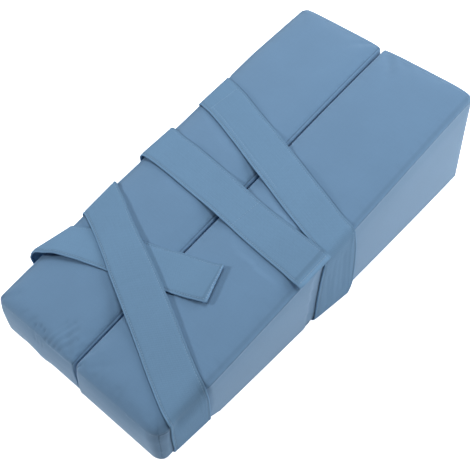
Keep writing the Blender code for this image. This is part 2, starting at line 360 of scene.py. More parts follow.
def strap_face(name, rows):
    """Grid of points on the inner face, by station and from the thin-side hem to the other."""
    columns = table_columns(rows)
    stations, turns = strap_stations(columns)
    even = np.linspace(0, stations[-1], round(stations[-1] / STATION_STEP) + 1)
    even_turns = np.interp(even, stations, turns)
    at = {}
    for key, column in columns.items():
        smooth = smoothed(np.interp(even_turns, columns["turn"], column), SMOOTH_STATIONS)
        at[key] = np.interp(stations, even, smooth)
    for hem, lane in WANDER_LANES[name].items():
        at[hem] += HEM_WANDER * slow_noise(stations, WANDER_LENGTH, lane)
    even_share = np.linspace(0, 1, ACROSS_STEPS + 1)
    share = (even_share + (1 - np.cos(math.pi * even_share)) / 2) / 2
    bend = (1 - share / HEM_BEND_SHARE).clip(min=0) ** 2
    points = np.zeros((len(turns), len(share), 3))
    for i, turn in enumerate(turns):
        for j, s in enumerate(share):
            along = at["thin_hem"][i] * (1 - s) + at["thick_hem"][i] * s - LENGTH / 2
            lift = at["thin_lift"][i] * (1 - s) + at["thick_lift"][i] * s
            lift -= (HEM_BEND + HEM_BEND_GAIN * max(0, at["thin_lift"][i])) * bend[j]
            points[i, j] = loop_point(along, turn + at["lead"][i] * s / PAIR_WIDTH, lift)
    return stations, turns, share, points


def grid_normals(points):
    """Unit normals of a grid of points, pointing out of the pillow."""
    onward, over = np.gradient(points, axis=0), np.gradient(points, axis=1)
    normal = np.cross(onward, over)
    return normal / np.linalg.norm(normal, axis=2, keepdims=True)


# %% [markdown]
# ## Thickness, sewn lines and folds of a strap
#
# A real strap is cloth folded double, with its edges turned in and stitched down. It is thicker over
# the folded hem and pressed thin along every line of stitches. A Solidify modifier gives one thickness
# all over, so the thickness is worked out point by point here. It is given in the strap's own flat
# sizes, across from the thin-side hem and along from its start, so one formula serves the whole strap.
# The photo also shows a few shallow folds where a strap turns over an edge. They are placed in the
# same flat sizes, as soft troughs (or ridges, where the depth is less than nothing).

# %% Thickness of a strap
HALF_THICKNESS = 0.90 * MM
# the turned-in edge adds this much over this width, and ends softly
FOLD_GAIN = 0.20 * MM
FOLD_WIDTH = 2.6 * MM
FOLD_EDGE = 1.2 * MM
# how far the stitches lie inside a hem and inside an end, and how they press the cloth
STITCH_INSET = 3.4 * MM
END_INSET = 2.8 * MM
STITCH_DEPTH = 0.42 * MM
STITCH_WIDTH = 0.75 * MM

# lines sewn across or along each strap: (turn, millimetres from the thin-side hem) of both ends
SEWN_LINES = {
    "upper": (
        ((0.075, 3.4), (0.097, 51)),
        ((0.075, 8.2), (0.62, 8.2)),
        ((4.588, 3.4), (4.608, 49)),
    ),
    "lower": (),
}
# turns of the two lines where the strap is sewn to the cover, out of sight on the left side
SEWN_ON = (-0.52, -0.28)
SEWN_ACROSS = (3.4, 47)

# (turn, millimetres from the thin-side hem) of both ends, then half width and depth in millimetres
FOLDS = {
    "upper": (
        ((1.02, 4), (1.06, 44), 7.0, 0.4),
        ((1.04, 50.5), (1.90, 58), 1.6, -0.50),
        ((1.20, 38), (1.75, 44), 3.5, 0.55),
        ((1.30, 12), (1.80, 18), 2.6, 0.50),
        ((1.45, 24), (1.90, 30), 2.2, -0.40),
        ((1.15, 20), (1.60, 23), 1.8, 0.35),
        ((1.20, 31), (1.70, 34), 1.8, 0.35),
    ),
    "lower": (
        ((0.99, 8), (0.98, 50), 9.0, 1.2),
        ((1.14, 13), (1.02, 46), 12.0, 4.2),
        ((1.05, 50.5), (1.45, 50.5), 1.5, -0.35),
        ((1.08, 45.5), (1.45, 45), 1.5, -0.30),
        ((0.42, 8), (0.47, 40), 3.0, 0.3),
        ((0.55, 16), (0.58, 44), 2.6, 0.25),
        ((4.30, 5), (4.42, 16), 2.4, 0.3),
    ),
}


def flat_place(strap, turn, across):
    """A turn and a distance from the thin-side hem as (across, along) in metres of flat strap."""
    return np.array((across * MM, np.interp(turn, strap["turns"], strap["stations"])))


# the first lines of a strap run along its hems, and the next one across its end
HEM_LINES = 2
END_LINE = 2


def sewn_lines(strap):
    """Each line of stitches as a row of (across, along) places in metres of flat strap."""
    stations, width = strap["stations"], strap["width"]
    inside = stations[(stations > STITCH_INSET) & (stations < stations[-1] - END_INSET)]
    width_inside = np.interp(inside, stations, width)
    end = stations[-1] - END_INSET
    lines = [
        np.stack([np.full(len(inside), STITCH_INSET), inside], axis=-1),
        np.stack([width_inside - STITCH_INSET, inside], axis=-1),
        np.array([(STITCH_INSET, end), (width[-1] - STITCH_INSET, end)]),
    ]
    for first, last in SEWN_LINES[strap["name"]]:
        lines.append(np.array([flat_place(strap, *first), flat_place(strap, *last)]))
    for turn in SEWN_ON:
        lines.append(np.array([flat_place(strap, turn, across) for across in SEWN_ACROSS]))
    return lines


def half_thickness(strap, flat):
    """Half the strap's thickness at (across, along) places of a grid."""
    stations = strap["stations"]
    from_hem = np.minimum(flat[..., 0], strap["width"][:, None] - flat[..., 0])
    from_end = np.minimum(flat[..., 1], stations[-1] - flat[..., 1])
    fold = np.maximum(soft_step((FOLD_WIDTH + FOLD_EDGE - from_hem) / FOLD_EDGE),
                      soft_step((END_INSET + FOLD_EDGE - from_end) / FOLD_EDGE))
    pressed = bump(from_hem - STITCH_INSET, STITCH_WIDTH)
    for line in sewn_lines(strap)[HEM_LINES:]:
        pressed = np.maximum(pressed, bump(segment_distance(flat, line[0], line[1]), STITCH_WIDTH))
    return HALF_THICKNESS + FOLD_GAIN * fold - STITCH_DEPTH * pressed


def fold_shift(strap, flat):
    """How far the strap moves towards the padding in its folds."""
    shift = np.zeros(flat.shape[:2])
    for first, last, width, depth in FOLDS[strap["name"]]:
        distance = segment_distance(flat, flat_place(strap, *first), flat_place(strap, *last))
        shift += depth * MM * bump(distance, width * MM)
    return shift


# %% [markdown]
# ## A strap as a closed band
#
# Each section is a flat ring with half-round hems. The rings are joined along the strap, and its two
# ends are closed. The result is one closed skin, as a printer or a simulation needs it. The flat place
# of each point is kept as a map called "cloth", in metres, so that a weave can follow the strap round
# every bend. Three more numbers are kept on each point for the shader to read: "hem", the distance
# from a hem or an end that is painted pale as a highlight, "thick_hem", the distance from the
# thick-side hem, which is painted dull as shade instead, and "fold", the depth of a fold, whose trough
# is painted as shade. On the right side of the pillow both hems are painted pale as a highlight.

# %% Build the straps
HEM_STEPS = 6
# the thickness falls as a quarter circle at an end, down to this share of it
END_ROUNDING = 1.0 * MM
LEAST_END_SHARE = 0.15
# the band painted pale as a highlight is wider at a strap's end, so a distance from the end counts as less
END_PALE_SHARE = 0.55
# the turns between which a strap lies on the right side, and a distance in metres that is never near
RIGHT_SIDE_TURNS = (1.03, 2.0)
FAR_AWAY = 1.0


def strap_shape(name, rows):
    """Middle surface, normals, flat places and half thickness of a strap, as grids."""
    stations, turns, share, inner = strap_face(name, rows)
    width = np.linalg.norm(np.diff(inner, axis=1), axis=2).sum(axis=1)
    strap = {"name": name, "stations": stations, "turns": turns, "width": width}
    # the half-round hems stand out by half the thickness, so the middle surface starts that far in
    inset = (HALF_THICKNESS + FOLD_GAIN) / width[:, None]
    inner_share = inset + (1 - 2 * inset) * share
    middle = np.zeros_like(inner)
    for i in range(len(inner)):
        for axis in range(3):
            middle[i, :, axis] = np.interp(inner_share[i], share, inner[i, :, axis])
    along = np.broadcast_to(stations[:, None], inner_share.shape)
    flat = np.stack([inner_share * width[:, None], along], axis=-1)
    normal = grid_normals(middle)
    folded = fold_shift(strap, flat)
    middle += normal * (STRAP_THICKNESS / 2 - folded)[..., None]
    strap.update(middle=middle, flat=flat, normal=grid_normals(middle), folded=folded,
                 half=half_thickness(strap, flat))
    return strap


def strap_rings(strap):
    """Sections of the band as rings of points, with the flat place of every point."""
    middle, normal, flat = strap["middle"], strap["normal"], strap["flat"]
    stations, width = strap["stations"], strap["width"]
    near_end = np.clip(1 - np.minimum(stations, stations[-1] - stations) / END_ROUNDING, 0, 1)
    end_share = np.sqrt(np.clip(1 - near_end ** 2, LEAST_END_SHARE ** 2, 1))
    half = strap["half"] * end_share[:, None]
    sideways = np.gradient(middle, axis=1)
    sideways /= np.linalg.norm(sideways, axis=2, keepdims=True)
    above = middle + normal * half[..., None]
    below = (middle - normal * half[..., None])[:, ::-1]
    angles = np.linspace(0, math.pi, HEM_STEPS + 2)[1:-1]
    # the half rounds at the last column, the thick-side hem, and at the first
    arcs = {-1: [], 0: []}
    for column, way in ((-1, 1), (0, -1)):
        for angle in angles:
            spoke = normal[:, column] * math.cos(angle) * way + sideways[:, column] * math.sin(angle) * way
            arcs[column].append(middle[:, column] + spoke * half[:, column, None])
    rings = np.concatenate([above, np.stack(arcs[-1], axis=1), below, np.stack(arcs[0], axis=1)], axis=1)
    across = np.concatenate([flat[..., 0], np.repeat(width[:, None], HEM_STEPS, axis=1),
                             flat[:, ::-1, 0], np.zeros((len(width), HEM_STEPS))], axis=1)
    along = np.broadcast_to(stations[:, None], across.shape)
    return rings, np.stack([across, along], axis=-1)


def end_faces(size, count):
    """Faces that close a ring of the band: quads over the flat part and one piece at each hem."""
    above, below = np.arange(size), np.arange(count - HEM_STEPS - 1, size + HEM_STEPS - 1, -1)
    quads = np.stack([above[:-1], above[1:], below[1:], below[:-1]], axis=-1).tolist()
    thick_hem = list(range(size - 1, size + HEM_STEPS + 1))
    thin_hem = list(range(count - HEM_STEPS - 1, count)) + [0]
    return quads + [thick_hem, thin_hem]


def add_cloth_map(mesh, flat):
    """Store the flat place of every point as a map named cloth, in metres."""
    corner = np.zeros(len(mesh.loops), int)
    mesh.loops.foreach_get("vertex_index", corner)
    layer = mesh.uv_layers.new(name="cloth")
    layer.uv.foreach_set("vector", np.ascontiguousarray(flat[corner]).reshape(-1))


def shader_numbers(strap, flat):
    """The numbers that the shader reads at each point of the rings, by name."""
    from_end = END_PALE_SHARE * (strap["stations"][-1] - flat[..., 1])
    from_thick_hem = strap["width"][:, None] - flat[..., 0]
    first, last = RIGHT_SIDE_TURNS
    on_right_side = ((strap["turns"] > first) & (strap["turns"] < last))[:, None]
    pale_thick_hem = np.where(on_right_side, from_thick_hem, FAR_AWAY)
    fold = strap["folded"]
    fold = np.concatenate([fold, np.repeat(fold[:, -1:], HEM_STEPS, axis=1),
                           fold[:, ::-1], np.repeat(fold[:, :1], HEM_STEPS, axis=1)], axis=1)
    return {
        "hem": np.minimum(np.minimum(flat[..., 0], from_end), pale_thick_hem),
        "thick_hem": np.where(on_right_side, FAR_AWAY, from_thick_hem),
        "fold": fold,
    }


def build_band(strap):
    """Mesh object of a strap from its rings."""
    rings, flat = strap_rings(strap)
    rows, count = rings.shape[:2]
    number = np.arange(rows * count).reshape(rows, count)
    following = np.roll(number, -1, axis=1)
    corners = (number[:-1], number[1:], following[1:], following[:-1])
    faces = np.stack(corners, axis=-1).reshape(-1, 4).tolist()
    for face in end_faces(strap["middle"].shape[1], count):
        faces.append(face)
        faces.append([(rows - 1) * count + corner for corner in face[::-1]])
    mesh = bpy.data.meshes.new("strap_" + strap["name"] + "_cloth")
    mesh.from_pydata(rings.reshape(-1, 3), [], faces)
    add_cloth_map(mesh, flat.reshape(-1, 2))
    for map_name, numbers in shader_numbers(strap, flat).items():
        values = mesh.attributes.new(map_name, "FLOAT", "POINT")
        values.data.foreach_set("value", numbers.reshape(-1).astype(np.float32))
    mesh.shade_smooth()
    band = bpy.data.objects.new(mesh.name, mesh)
    bpy.context.scene.collection.objects.link(band)
    return band


straps = {}
for name, rows in STRAP_TABLES.items():
    strap = strap_shape(name, rows)
    strap["band"] = build_band(strap)
    strap["cut"] = (float(strap["width"].mean()), float(strap["stations"][-1]))
    straps[name] = strap
    print(strap["band"].name, "is cut to", [round(size, 4) for size in strap["cut"]], "m,",
          len(strap["band"].data.polygons), "faces")

# %% [markdown]
# ## Stitches
#
# Each stitch is a short bit of thread that dives into the cloth at both ends. In the photo they show
# only as faint specks along the hems and the lines across the straps, but they make a hem look sewn
# from close by. They could be drawn in the material, but thread that stands out catches the light and
# shades the cloth beside it, and it stays in the exported mesh. A stitch is a six-sided thread of four
# rings, laid along the pressed line. The line across a strap's end shows more, so it is sewn with a
# thicker thread.

# %% Lay the stitches
STITCH_PITCH = 3.4 * MM
STITCH_LENGTH = 2.5 * MM
THREAD_RADIUS = 0.20 * MM
END_THREAD_RADIUS = 0.44 * MM
THREAD_SIDES = 6
# each ring's place as a share of the stitch's length, and its size and height as shares of the radius
STITCH_RINGS = ((-0.5, 0.5, -0.9), (-0.32, 1.0, 0.25), (0.32, 1.0, 0.25), (0.5, 0.5, -0.9))


def evenly_on(line, pitch):
    """Places at an even pitch on a row of flat places, and the way of the line at each."""
    steps = np.diff(line, axis=0)
    run = np.concatenate([[0], np.cumsum(np.linalg.norm(steps, axis=1))])
    count = max(2, round(run[-1] / pitch))
    at = (np.arange(count) + 0.5) * run[-1] / count
    places = np.stack([np.interp(at, run, line[:, axis]) for axis in (0, 1)], axis=-1)
    segment = np.clip(np.searchsorted(run, at) - 1, 0, len(steps) - 1)
    return places, steps[segment] / np.linalg.norm(steps[segment], axis=1, keepdims=True)


def on_strap(strap, place, grid):
    """Value of a grid of the strap at a flat place, found between the four nearest points."""
    row = np.interp(place[1], strap["stations"], np.arange(len(strap["stations"])))
    low = min(int(row), len(strap["stations"]) - 2)
    value = []
    for i in (low, low + 1):
        across = strap["flat"][i, :, 0]
        value.append(np.array([np.interp(place[0], across, grid[i, :, axis]) for axis in range(3)]))
    return value[0] * (low + 1 - row) + value[1] * (row - low)


def stitch_points(strap, outer, place, way, radius):
    """Rings of points of one stitch, laid on the strap's outer face."""
    out = on_strap(strap, place, strap["normal"])
    out /= np.linalg.norm(out)
    ends = [on_strap(strap, place + way * STITCH_LENGTH * share, outer) for share in (-0.5, 0.5)]
    centre = (ends[0] + ends[1]) / 2
    ahead = (ends[1] - ends[0]) / np.linalg.norm(ends[1] - ends[0])
    beside = np.cross(out, ahead)
    points = []
    for share, size, height in STITCH_RINGS:
        middle = centre + ahead * STITCH_LENGTH * share + out * radius * height
        for angle in np.linspace(0, 2 * math.pi, THREAD_SIDES, endpoint=False):
            spoke = beside * math.cos(angle) + out * math.sin(angle)
            points.append(middle + spoke * radius * size)
    return points


def stitch_faces(first):
    """Faces of a stitch whose points are numbered from first: its sides, then its two ends."""
    last = first + (len(STITCH_RINGS) - 1) * THREAD_SIDES
    faces = []
    for ring in range(first, last, THREAD_SIDES):
        for side in range(THREAD_SIDES):
            here, after = ring + side, ring + (side + 1) % THREAD_SIDES
            faces.append((here, after, after + THREAD_SIDES, here + THREAD_SIDES))
    faces.append(list(range(first + THREAD_SIDES - 1, first - 1, -1)))
    faces.append(list(range(last, last + THREAD_SIDES)))
    return faces


def add_stitches(strap):
    """One object that holds all the stitches of a strap."""
    outer = strap["middle"] + strap["normal"] * strap["half"][..., None]
    points, faces = [], []
    for line_number, line in enumerate(sewn_lines(strap)):
        radius = END_THREAD_RADIUS if line_number == END_LINE else THREAD_RADIUS
        for place, way in zip(*evenly_on(line, STITCH_PITCH)):
            faces += stitch_faces(len(points))
            points += stitch_points(strap, outer, place, way, radius)
    mesh = bpy.data.meshes.new("strap_" + strap["name"] + "_stitches")
    mesh.from_pydata(points, [], faces)
    mesh.shade_smooth()
    stitches = bpy.data.objects.new(mesh.name, mesh)
    bpy.context.scene.collection.objects.link(stitches)
    return stitches


for strap in straps.values():
    strap["stitches"] = add_stitches(strap)
    print(strap["stitches"].name, "has", len(strap["stitches"].data.polygons), "faces")

# %% [markdown]
# ## A grid that is fine where the cover bends
#
# A cover bends sharply only near its seams, so its grid has steps of under a millimetre there and of a
# few millimetres in the middle of a panel. A bevelled cube with a Subdivision modifier would spend its
# faces evenly, where most of them do nothing. The grid is laid on the six sides of a box first. Every
# point knows how far it is from the box's edges, and formulas then move it.

# %% Grid of a closed box
EDGE_STEPS = np.array((0, 0.4, 0.9, 1.5, 2.2, 2.9, 3.5, 4.1, 4.7, 5.3, 6.0, 7.0, 8.4, 10.2, 12.5,
                       15.3, 18.5)) * MM
COARSE_EDGE_STEPS = np.array((0, 3.0, 7.0, 12.0)) * MM


def steps_over(span, edge_steps, face_step):
    """Distances over a panel from one edge to the other, close together at both."""
    count = round((span - 2 * edge_steps[-1]) / face_step)
    middle = np.linspace(edge_steps[-1], span - edge_steps[-1], count + 1)[1:-1]
    return np.concatenate([edge_steps, middle, (span - edge_steps)[::-1]])


def steps_up(edge_steps, count):
    """Steps up a side as a fixed part in metres and a share of what the height leaves."""
    share = np.linspace(0, 1, count + 1)[1:-1]
    border = edge_steps[-1]
    fixed = np.concatenate([edge_steps, np.full(len(share), border), (2 * border - edge_steps)[::-1]])
    shares = np.concatenate([edge_steps * 0, share, edge_steps * 0 + 1])
    return fixed, shares


def shell_grid(counts):
    """Indices of the points on a box's surface, their numbers, and the quads between them."""
    inside = np.zeros(counts, bool)
    inside[1:-1, 1:-1, 1:-1] = True
    places = np.argwhere(~inside)
    number = np.full(counts, -1)
    number[tuple(places.T)] = np.arange(len(places))
    quads = []
    for axis in range(3):
        for end in (0, -1):
            sheet = np.take(number, end, axis=axis)
            corners = (sheet[:-1, :-1], sheet[1:, :-1], sheet[1:, 1:], sheet[:-1, 1:])
            quad = np.stack(corners, axis=-1).reshape(-1, 4)
            turned_in = (end == 0) != (axis == 1)
            quads.append((axis, quad[:, ::-1] if turned_in else quad))
    return places.T, number, quads


# %% [markdown]
# ## The form of a padded wedge
#
# The top panel domes down to its seam, while the side panel stays almost flat right up to it, so a
# sewn edge is soft on one side and crisp on the other. A plain round bevel would lose that. The
# upright corners are rounded in the plan, each by its own radius. Between the wedges the sides draw in
# under their seams, which opens the narrow valley that the photo shows. The underside is let in where
# the straps pass, so that the pair lies flat.

# %% Sizes of the corners and edges
# radius of each upright corner in the plan, at the underside and at the top, in millimetres
CORNER_RADII = {
    ("left", "thin", "inner"): (2.5, 5.0),
    ("left", "thin", "outer"): (10.0, 8.5),
    ("left", "thick", "inner"): (5.0, 6.0),
    ("left", "thick", "outer"): (9.0, 9.0),
    ("right", "thin", "inner"): (3.0, 9.0),
    ("right", "thin", "outer"): (17.0, 22.0),
    ("right", "thick", "inner"): (5.0, 4.0),
    ("right", "thick", "outer"): (4.5, 8.0),
}
# how each edge is rounded, in millimetres: the top panel falls by drop over reach, more evenly where
# its power is low, and the side panel draws in by pull over side_reach
EDGE_COLUMNS = ("drop", "reach", "pull", "side_reach")
EDGES = {
    ("left", "outer"): (2.8, 9.0, 0.6, 22.0),
    ("left", "inner"): (5.2, 11.0, 0.6, 12.0),
    ("left", "thin"): (7.0, 16.0, 1.6, 18.0),
    ("left", "thick"): (2.8, 10.0, 0.6, 20.0),
    ("right", "outer"): (2.8, 9.0, 0.6, 22.0),
    ("right", "inner"): (2.2, 5.0, 1.0, 16.0),
    ("right", "thin"): (7.0, 16.0, 1.6, 18.0),
    ("right", "thick"): (2.8, 10.0, 0.6, 20.0),
}
EDGE_POWERS = {("left", "inner"): 2}
USUAL_EDGE_POWER = 3
# where two edges meet at a corner, their falls are joined as the root of a sum of this power
JOIN_POWER = 3
# on the near ends no edge shows: there the top goes over in a full round. At the near right corner the
# outer edge does the same, wholly up to the first distance from the thin end and not past the second
ROUND_EDGE = "thin"
ROUND_CORNER = ("right", "outer")
ROUND_CORNER_WHOLE = 16.5 * MM
ROUND_CORNER_GONE = 71.5 * MM
# the weight of the pillow presses its lower edges flat, so they are rounded by only this share
UNDERSIDE_SHARE = 0.3
# a soft dip runs along the outer edges on the top, where the turned-in allowance holds the cloth down
EDGE_DIP = {"place": 4.8 * MM, "width": 2.2 * MM, "depth": 0.45 * MM}
# how far the soft cover stands proud of the solid, in millimetres
COVER_STAND = {
    "left": {"thin": 0.5, "thick": 1.6, "outer": 1.0},
    "right": {"thin": 2.4, "thick": 2.0, "outer": 1.5},
}

# %% [markdown]
# The covers are sewn from panels, and each seam shows as a fine groove with a low ridge beside it,
# where the turned-in allowance lies. The groove could be drawn in the material alone, but then it
# would have no lit edge and the exported mesh would lack it, so it is part of the shape. Some seams
# hardly show, because the side panel is pulled over the edge or the fold hides them.

# %% Sizes of the seams
# how clearly each seam shows
SEAM_SHARES = {
    "left": {"outer": 0.5, "inner": 0.7, "thin": 0.1, "thick": 0.5},
    "right": {"outer": 0.3, "inner": 1.6, "thin": 0.1, "thick": 0.5},
}
# where the side panel is rolled over the edge, its seam lies this far in on the top, in millimetres at
# the thin end and at the thick end
SEAM_INSETS = {
    "left": {"outer": (0, 0), "inner": (2.0, 4.4), "thin": (0, 0), "thick": (4.7, 4.7)},
    "right": {"outer": (0, 0), "inner": (0, 0), "thin": (0, 0), "thick": (4.7, 4.7)},
}
UPRIGHT_SEAM_SHARE = 0.5
SEAM_DEPTH = 0.8 * MM
SEAM_HALF_WIDTH = 1.3 * MM
# the turned-in allowance beside a seam: a low ridge that ends a few millimetres from the seam
ALLOWANCE_HEIGHT = 0.22 * MM
ALLOWANCE_PLACE = 3.6 * MM
ALLOWANCE_WIDTH = 2.2 * MM

# %% [markdown]
# The next functions give one thing each: how far a top falls near an edge, how deep the underside is
# let in for the straps, and how the cloth stands near a seam. They take whole columns of distances at
# once, which is what makes a fine mesh quick to build.

# %% Falls, recess and seams
# how deep the underside is let in, how far past a strap's hems, and over what border it comes back
RECESS_DEPTH = STRAP_THICKNESS + FLOOR_CLEARANCE + STRAP_CLEARANCE
RECESS_MARGIN = 1.5 * MM
RECESS_BORDER = 5.0 * MM


def edge_size(side_name, edge, column):
    """One size of the table of edges, in metres."""
    return EDGES[side_name, edge][EDGE_COLUMNS.index(column)] * MM


def edge_fall(side_name, edge, distance):
    """How far the top panel falls at a distance from an edge."""
    drop, reach = edge_size(side_name, edge, "drop"), edge_size(side_name, edge, "reach")
    if edge == ROUND_EDGE:
        return drop * (1 - np.sqrt(1 - np.clip(1 - distance / reach, 0, 1) ** 2))
    return fall(distance, drop, reach, EDGE_POWERS.get((side_name, edge), USUAL_EDGE_POWER))


def recess(along, y):
    """How far the underside is let in for the straps at a place."""
    depth = 0
    # the middle of the underside is half way between turns 2 and 3
    turn = 2.5 + y / PAIR_WIDTH
    for rows in STRAP_TABLES.values():
        columns = table_columns(rows)
        thin = np.interp(turn, columns["turn"], columns["thin_hem"]) - RECESS_MARGIN
        thick = np.interp(turn, columns["turn"], columns["thick_hem"]) + RECESS_MARGIN
        outside = np.abs(along + LENGTH / 2 - (thin + thick) / 2) - (thick - thin) / 2
        depth = np.maximum(depth, RECESS_DEPTH * soft_step(1 - outside / RECESS_BORDER))
    return depth


def seam_profile(distance):
    """Height of the cloth near a seam: sunk at the thread, raised over the turned-in allowance."""
    return (ALLOWANCE_HEIGHT * bump(distance - ALLOWANCE_PLACE, ALLOWANCE_WIDTH)
            - fall(distance, SEAM_DEPTH, SEAM_HALF_WIDTH, power=2))


def joined_seams(distances):
    """Height of the cloth near several seams, given as pairs of a distance and a share."""
    profiles = np.array([share * seam_profile(distance) for distance, share in distances])
    return profiles.min(axis=0).clip(max=0) + profiles.max(axis=0).clip(min=0)


# %% [markdown]
# A wedge's plan is a rectangle with a different radius at each upright corner, and its top is a
# shallow crown that falls towards four seams. Two falls meet at a corner. Adding them would sink it
# twice, and the larger of the two would leave a sharp line, so they are joined as the root of a sum of
# powers.

# %% Plan, falls and crown
def plan_radius(side_name, end_share, side_share, level):
    """Radius of the rounded plan at each point, between the radii of the four upright corners."""
    radius = 0
    for end, edge, share in (("thin", "inner", (1 - end_share) * (1 - side_share)),
                             ("thin", "outer", (1 - end_share) * side_share),
                             ("thick", "inner", end_share * (1 - side_share)),
                             ("thick", "outer", end_share * side_share)):
        low, high = CORNER_RADII[side_name, end, edge]
        radius = radius + (low + (high - low) * soft_step(level)) * MM * share
    return radius


def top_fall(side_name, to_edge):
    """How far the top falls towards its seams at distances from the four edges."""
    joined = 0
    round_share = soft_step((ROUND_CORNER_GONE - to_edge["thin"])
                            / (ROUND_CORNER_GONE - ROUND_CORNER_WHOLE))
    for edge, distance in to_edge.items():
        drop = edge_fall(side_name, edge, distance)
        if (side_name, edge) == ROUND_CORNER:
            rounded = edge_fall(side_name, ROUND_EDGE, distance)
            drop = drop * (1 - round_share) + rounded * round_share
        joined = joined + drop ** JOIN_POWER
    return joined ** (1 / JOIN_POWER)


def crown_height(side_name, length_share, width_share):
    """How far the top stands up in its middle and sinks at its corners; both shares are -1 to 1."""
    far_corner = (length_share > 0) & (width_share > 0)
    corner_drop = np.where(far_corner, FAR_CORNER_DROP[side_name], CORNER_DROP)
    return (CROWN * (1 - length_share ** CROWN_POWER) * (1 - width_share ** 2)
            - corner_drop * (length_share * width_share) ** CORNER_POWER)


# %% [markdown]
# Now every point of the box's surface is moved to its place on the wedge. The order is that of a
# pattern cutter: the outline of the plan first, then the top and the underside, then how the sides
# draw in under their seams, and last how far each point is from a seam.

# %% Points of one wedge
def wedge_points(side_name, along, across, fixed_up, share_up, border):
    """Places of the grid's points, and how far each is from the nearest seam and from the outer edge.

    Across is the distance from the seam between the wedges.
    """
    side = 1 if side_name == "left" else -1
    stand = {edge: size * MM for edge, size in COVER_STAND[side_name].items()}
    outline = outline_way(along) if side_name == "left" else 0
    stretch = 1 + (side_bow(along) + stand["outer"] + outline) / BLOCK_WIDTH
    width = BLOCK_WIDTH * stretch
    across = across * stretch
    to_edge = {"thin": along + LENGTH / 2, "thick": LENGTH / 2 - along, "inner": across,
               "outer": width - across}
    length_share = 2 * along / LENGTH
    width_share = 2 * across / width - 1

    # the plan is rounded at the upright corners: how far a point lies into the round, and which way
    level = (fixed_up + share_up * (height_at(along) - 2 * border)) / height_at(along)
    radius = plan_radius(side_name, soft_step(to_edge["thin"] / LENGTH), soft_step(across / width), level)
    nearest_end = np.minimum(to_edge["thin"], to_edge["thick"])
    nearest_side = np.minimum(to_edge["inner"], to_edge["outer"])
    at_end = np.clip(1 - nearest_end / radius, 0, 1)
    at_side = np.clip(1 - nearest_side / radius, 0, 1)
    reach = np.maximum(np.hypot(at_end, at_side), TINY)
    inward = np.maximum(at_end, at_side)
    way_along = np.where(to_edge["thick"] < to_edge["thin"], 1, -1)
    way_across = np.where(to_edge["outer"] < to_edge["inner"], 1, -1)

    # the top swells in its middle, falls towards its seams and is drawn down along them
    drop = top_fall(side_name, to_edge)
    shares = SEAM_SHARES[side_name]
    insets = {edge: np.interp(along, (-LENGTH / 2, LENGTH / 2), inset) * MM
              for edge, inset in SEAM_INSETS[side_name].items()}
    top_seams = [(np.abs(distance - insets[edge]), shares[edge]) for edge, distance in to_edge.items()]
    dip = EDGE_DIP["depth"] * bump(to_edge["outer"] - EDGE_DIP["place"], EDGE_DIP["width"])
    crown = crown_height(side_name, length_share, width_share)
    top = height_at(along) + crown - drop + joined_seams(top_seams) - dip
    bottom = UNDERSIDE_SHARE * drop + recess(along, side * (MIDDLE_GAP / 2 + across))
    up = bottom + fixed_up + share_up * (top - bottom - 2 * border)

    # the sides draw in towards their seams
    end_weight = (at_end / reach) ** 2
    weights = {"thin": end_weight * (way_along < 0), "thick": end_weight * (way_along > 0),
               "inner": (1 - end_weight) * (way_across < 0), "outer": (1 - end_weight) * (way_across > 0)}
    from_seam = np.minimum(top - up, up - bottom)
    pull_share = np.where(up - bottom < top - up, UNDERSIDE_SHARE, 1)
    pull, seam_share, inset_down = 0, 0, 0
    for edge, weight in weights.items():
        edge_pull = edge_size(side_name, edge, "pull")
        edge_reach = edge_size(side_name, edge, "side_reach")
        pull = pull + weight * pull_share * fall(from_seam, edge_pull, edge_reach, power=2)
        seam_share = seam_share + weight * shares[edge]
        inset_down = inset_down + weight * insets[edge]
    upright = np.maximum(nearest_end, nearest_side)
    from_sewn = from_seam + inset_down
    pull = pull - joined_seams([(upright, UPRIGHT_SEAM_SHARE), (from_sewn, seam_share)])
    shift = radius * (inward / reach - 1) - pull * inward ** 2 / reach
    level = (up - bottom) / (top - bottom)
    end_swell = length_share * END_SWELL * (1 - width_share ** 2) * (1 - (2 * level - 1) ** 2)
    stand_along = (stand["thick"] * (1 + length_share) - stand["thin"] * (1 - length_share)) / 2
    x = along + stand_along + end_swell + way_along * at_end * shift
    y = across + way_across * at_side * shift + side * gap_way(along) * (1 - across / width)
    points = np.stack([x, MIDDLE_Y + side * (MIDDLE_GAP / 2 + y), up], axis=-1)

    # a seam that hardly shows counts as further off
    on_a_side = inward > 1 - TINY
    on_panel = np.min([distance / share for distance, share in top_seams], axis=0)
    on_side = np.minimum(upright / UPRIGHT_SEAM_SHARE, from_sewn / np.maximum(seam_share, shares["thin"]))
    from_any_seam = np.where(on_a_side, on_side, on_panel)
    from_edge = np.where(on_a_side, top - up + EDGE_DIP["place"],
                         np.abs(to_edge["outer"] - EDGE_DIP["place"]))
    return points, from_any_seam, from_edge
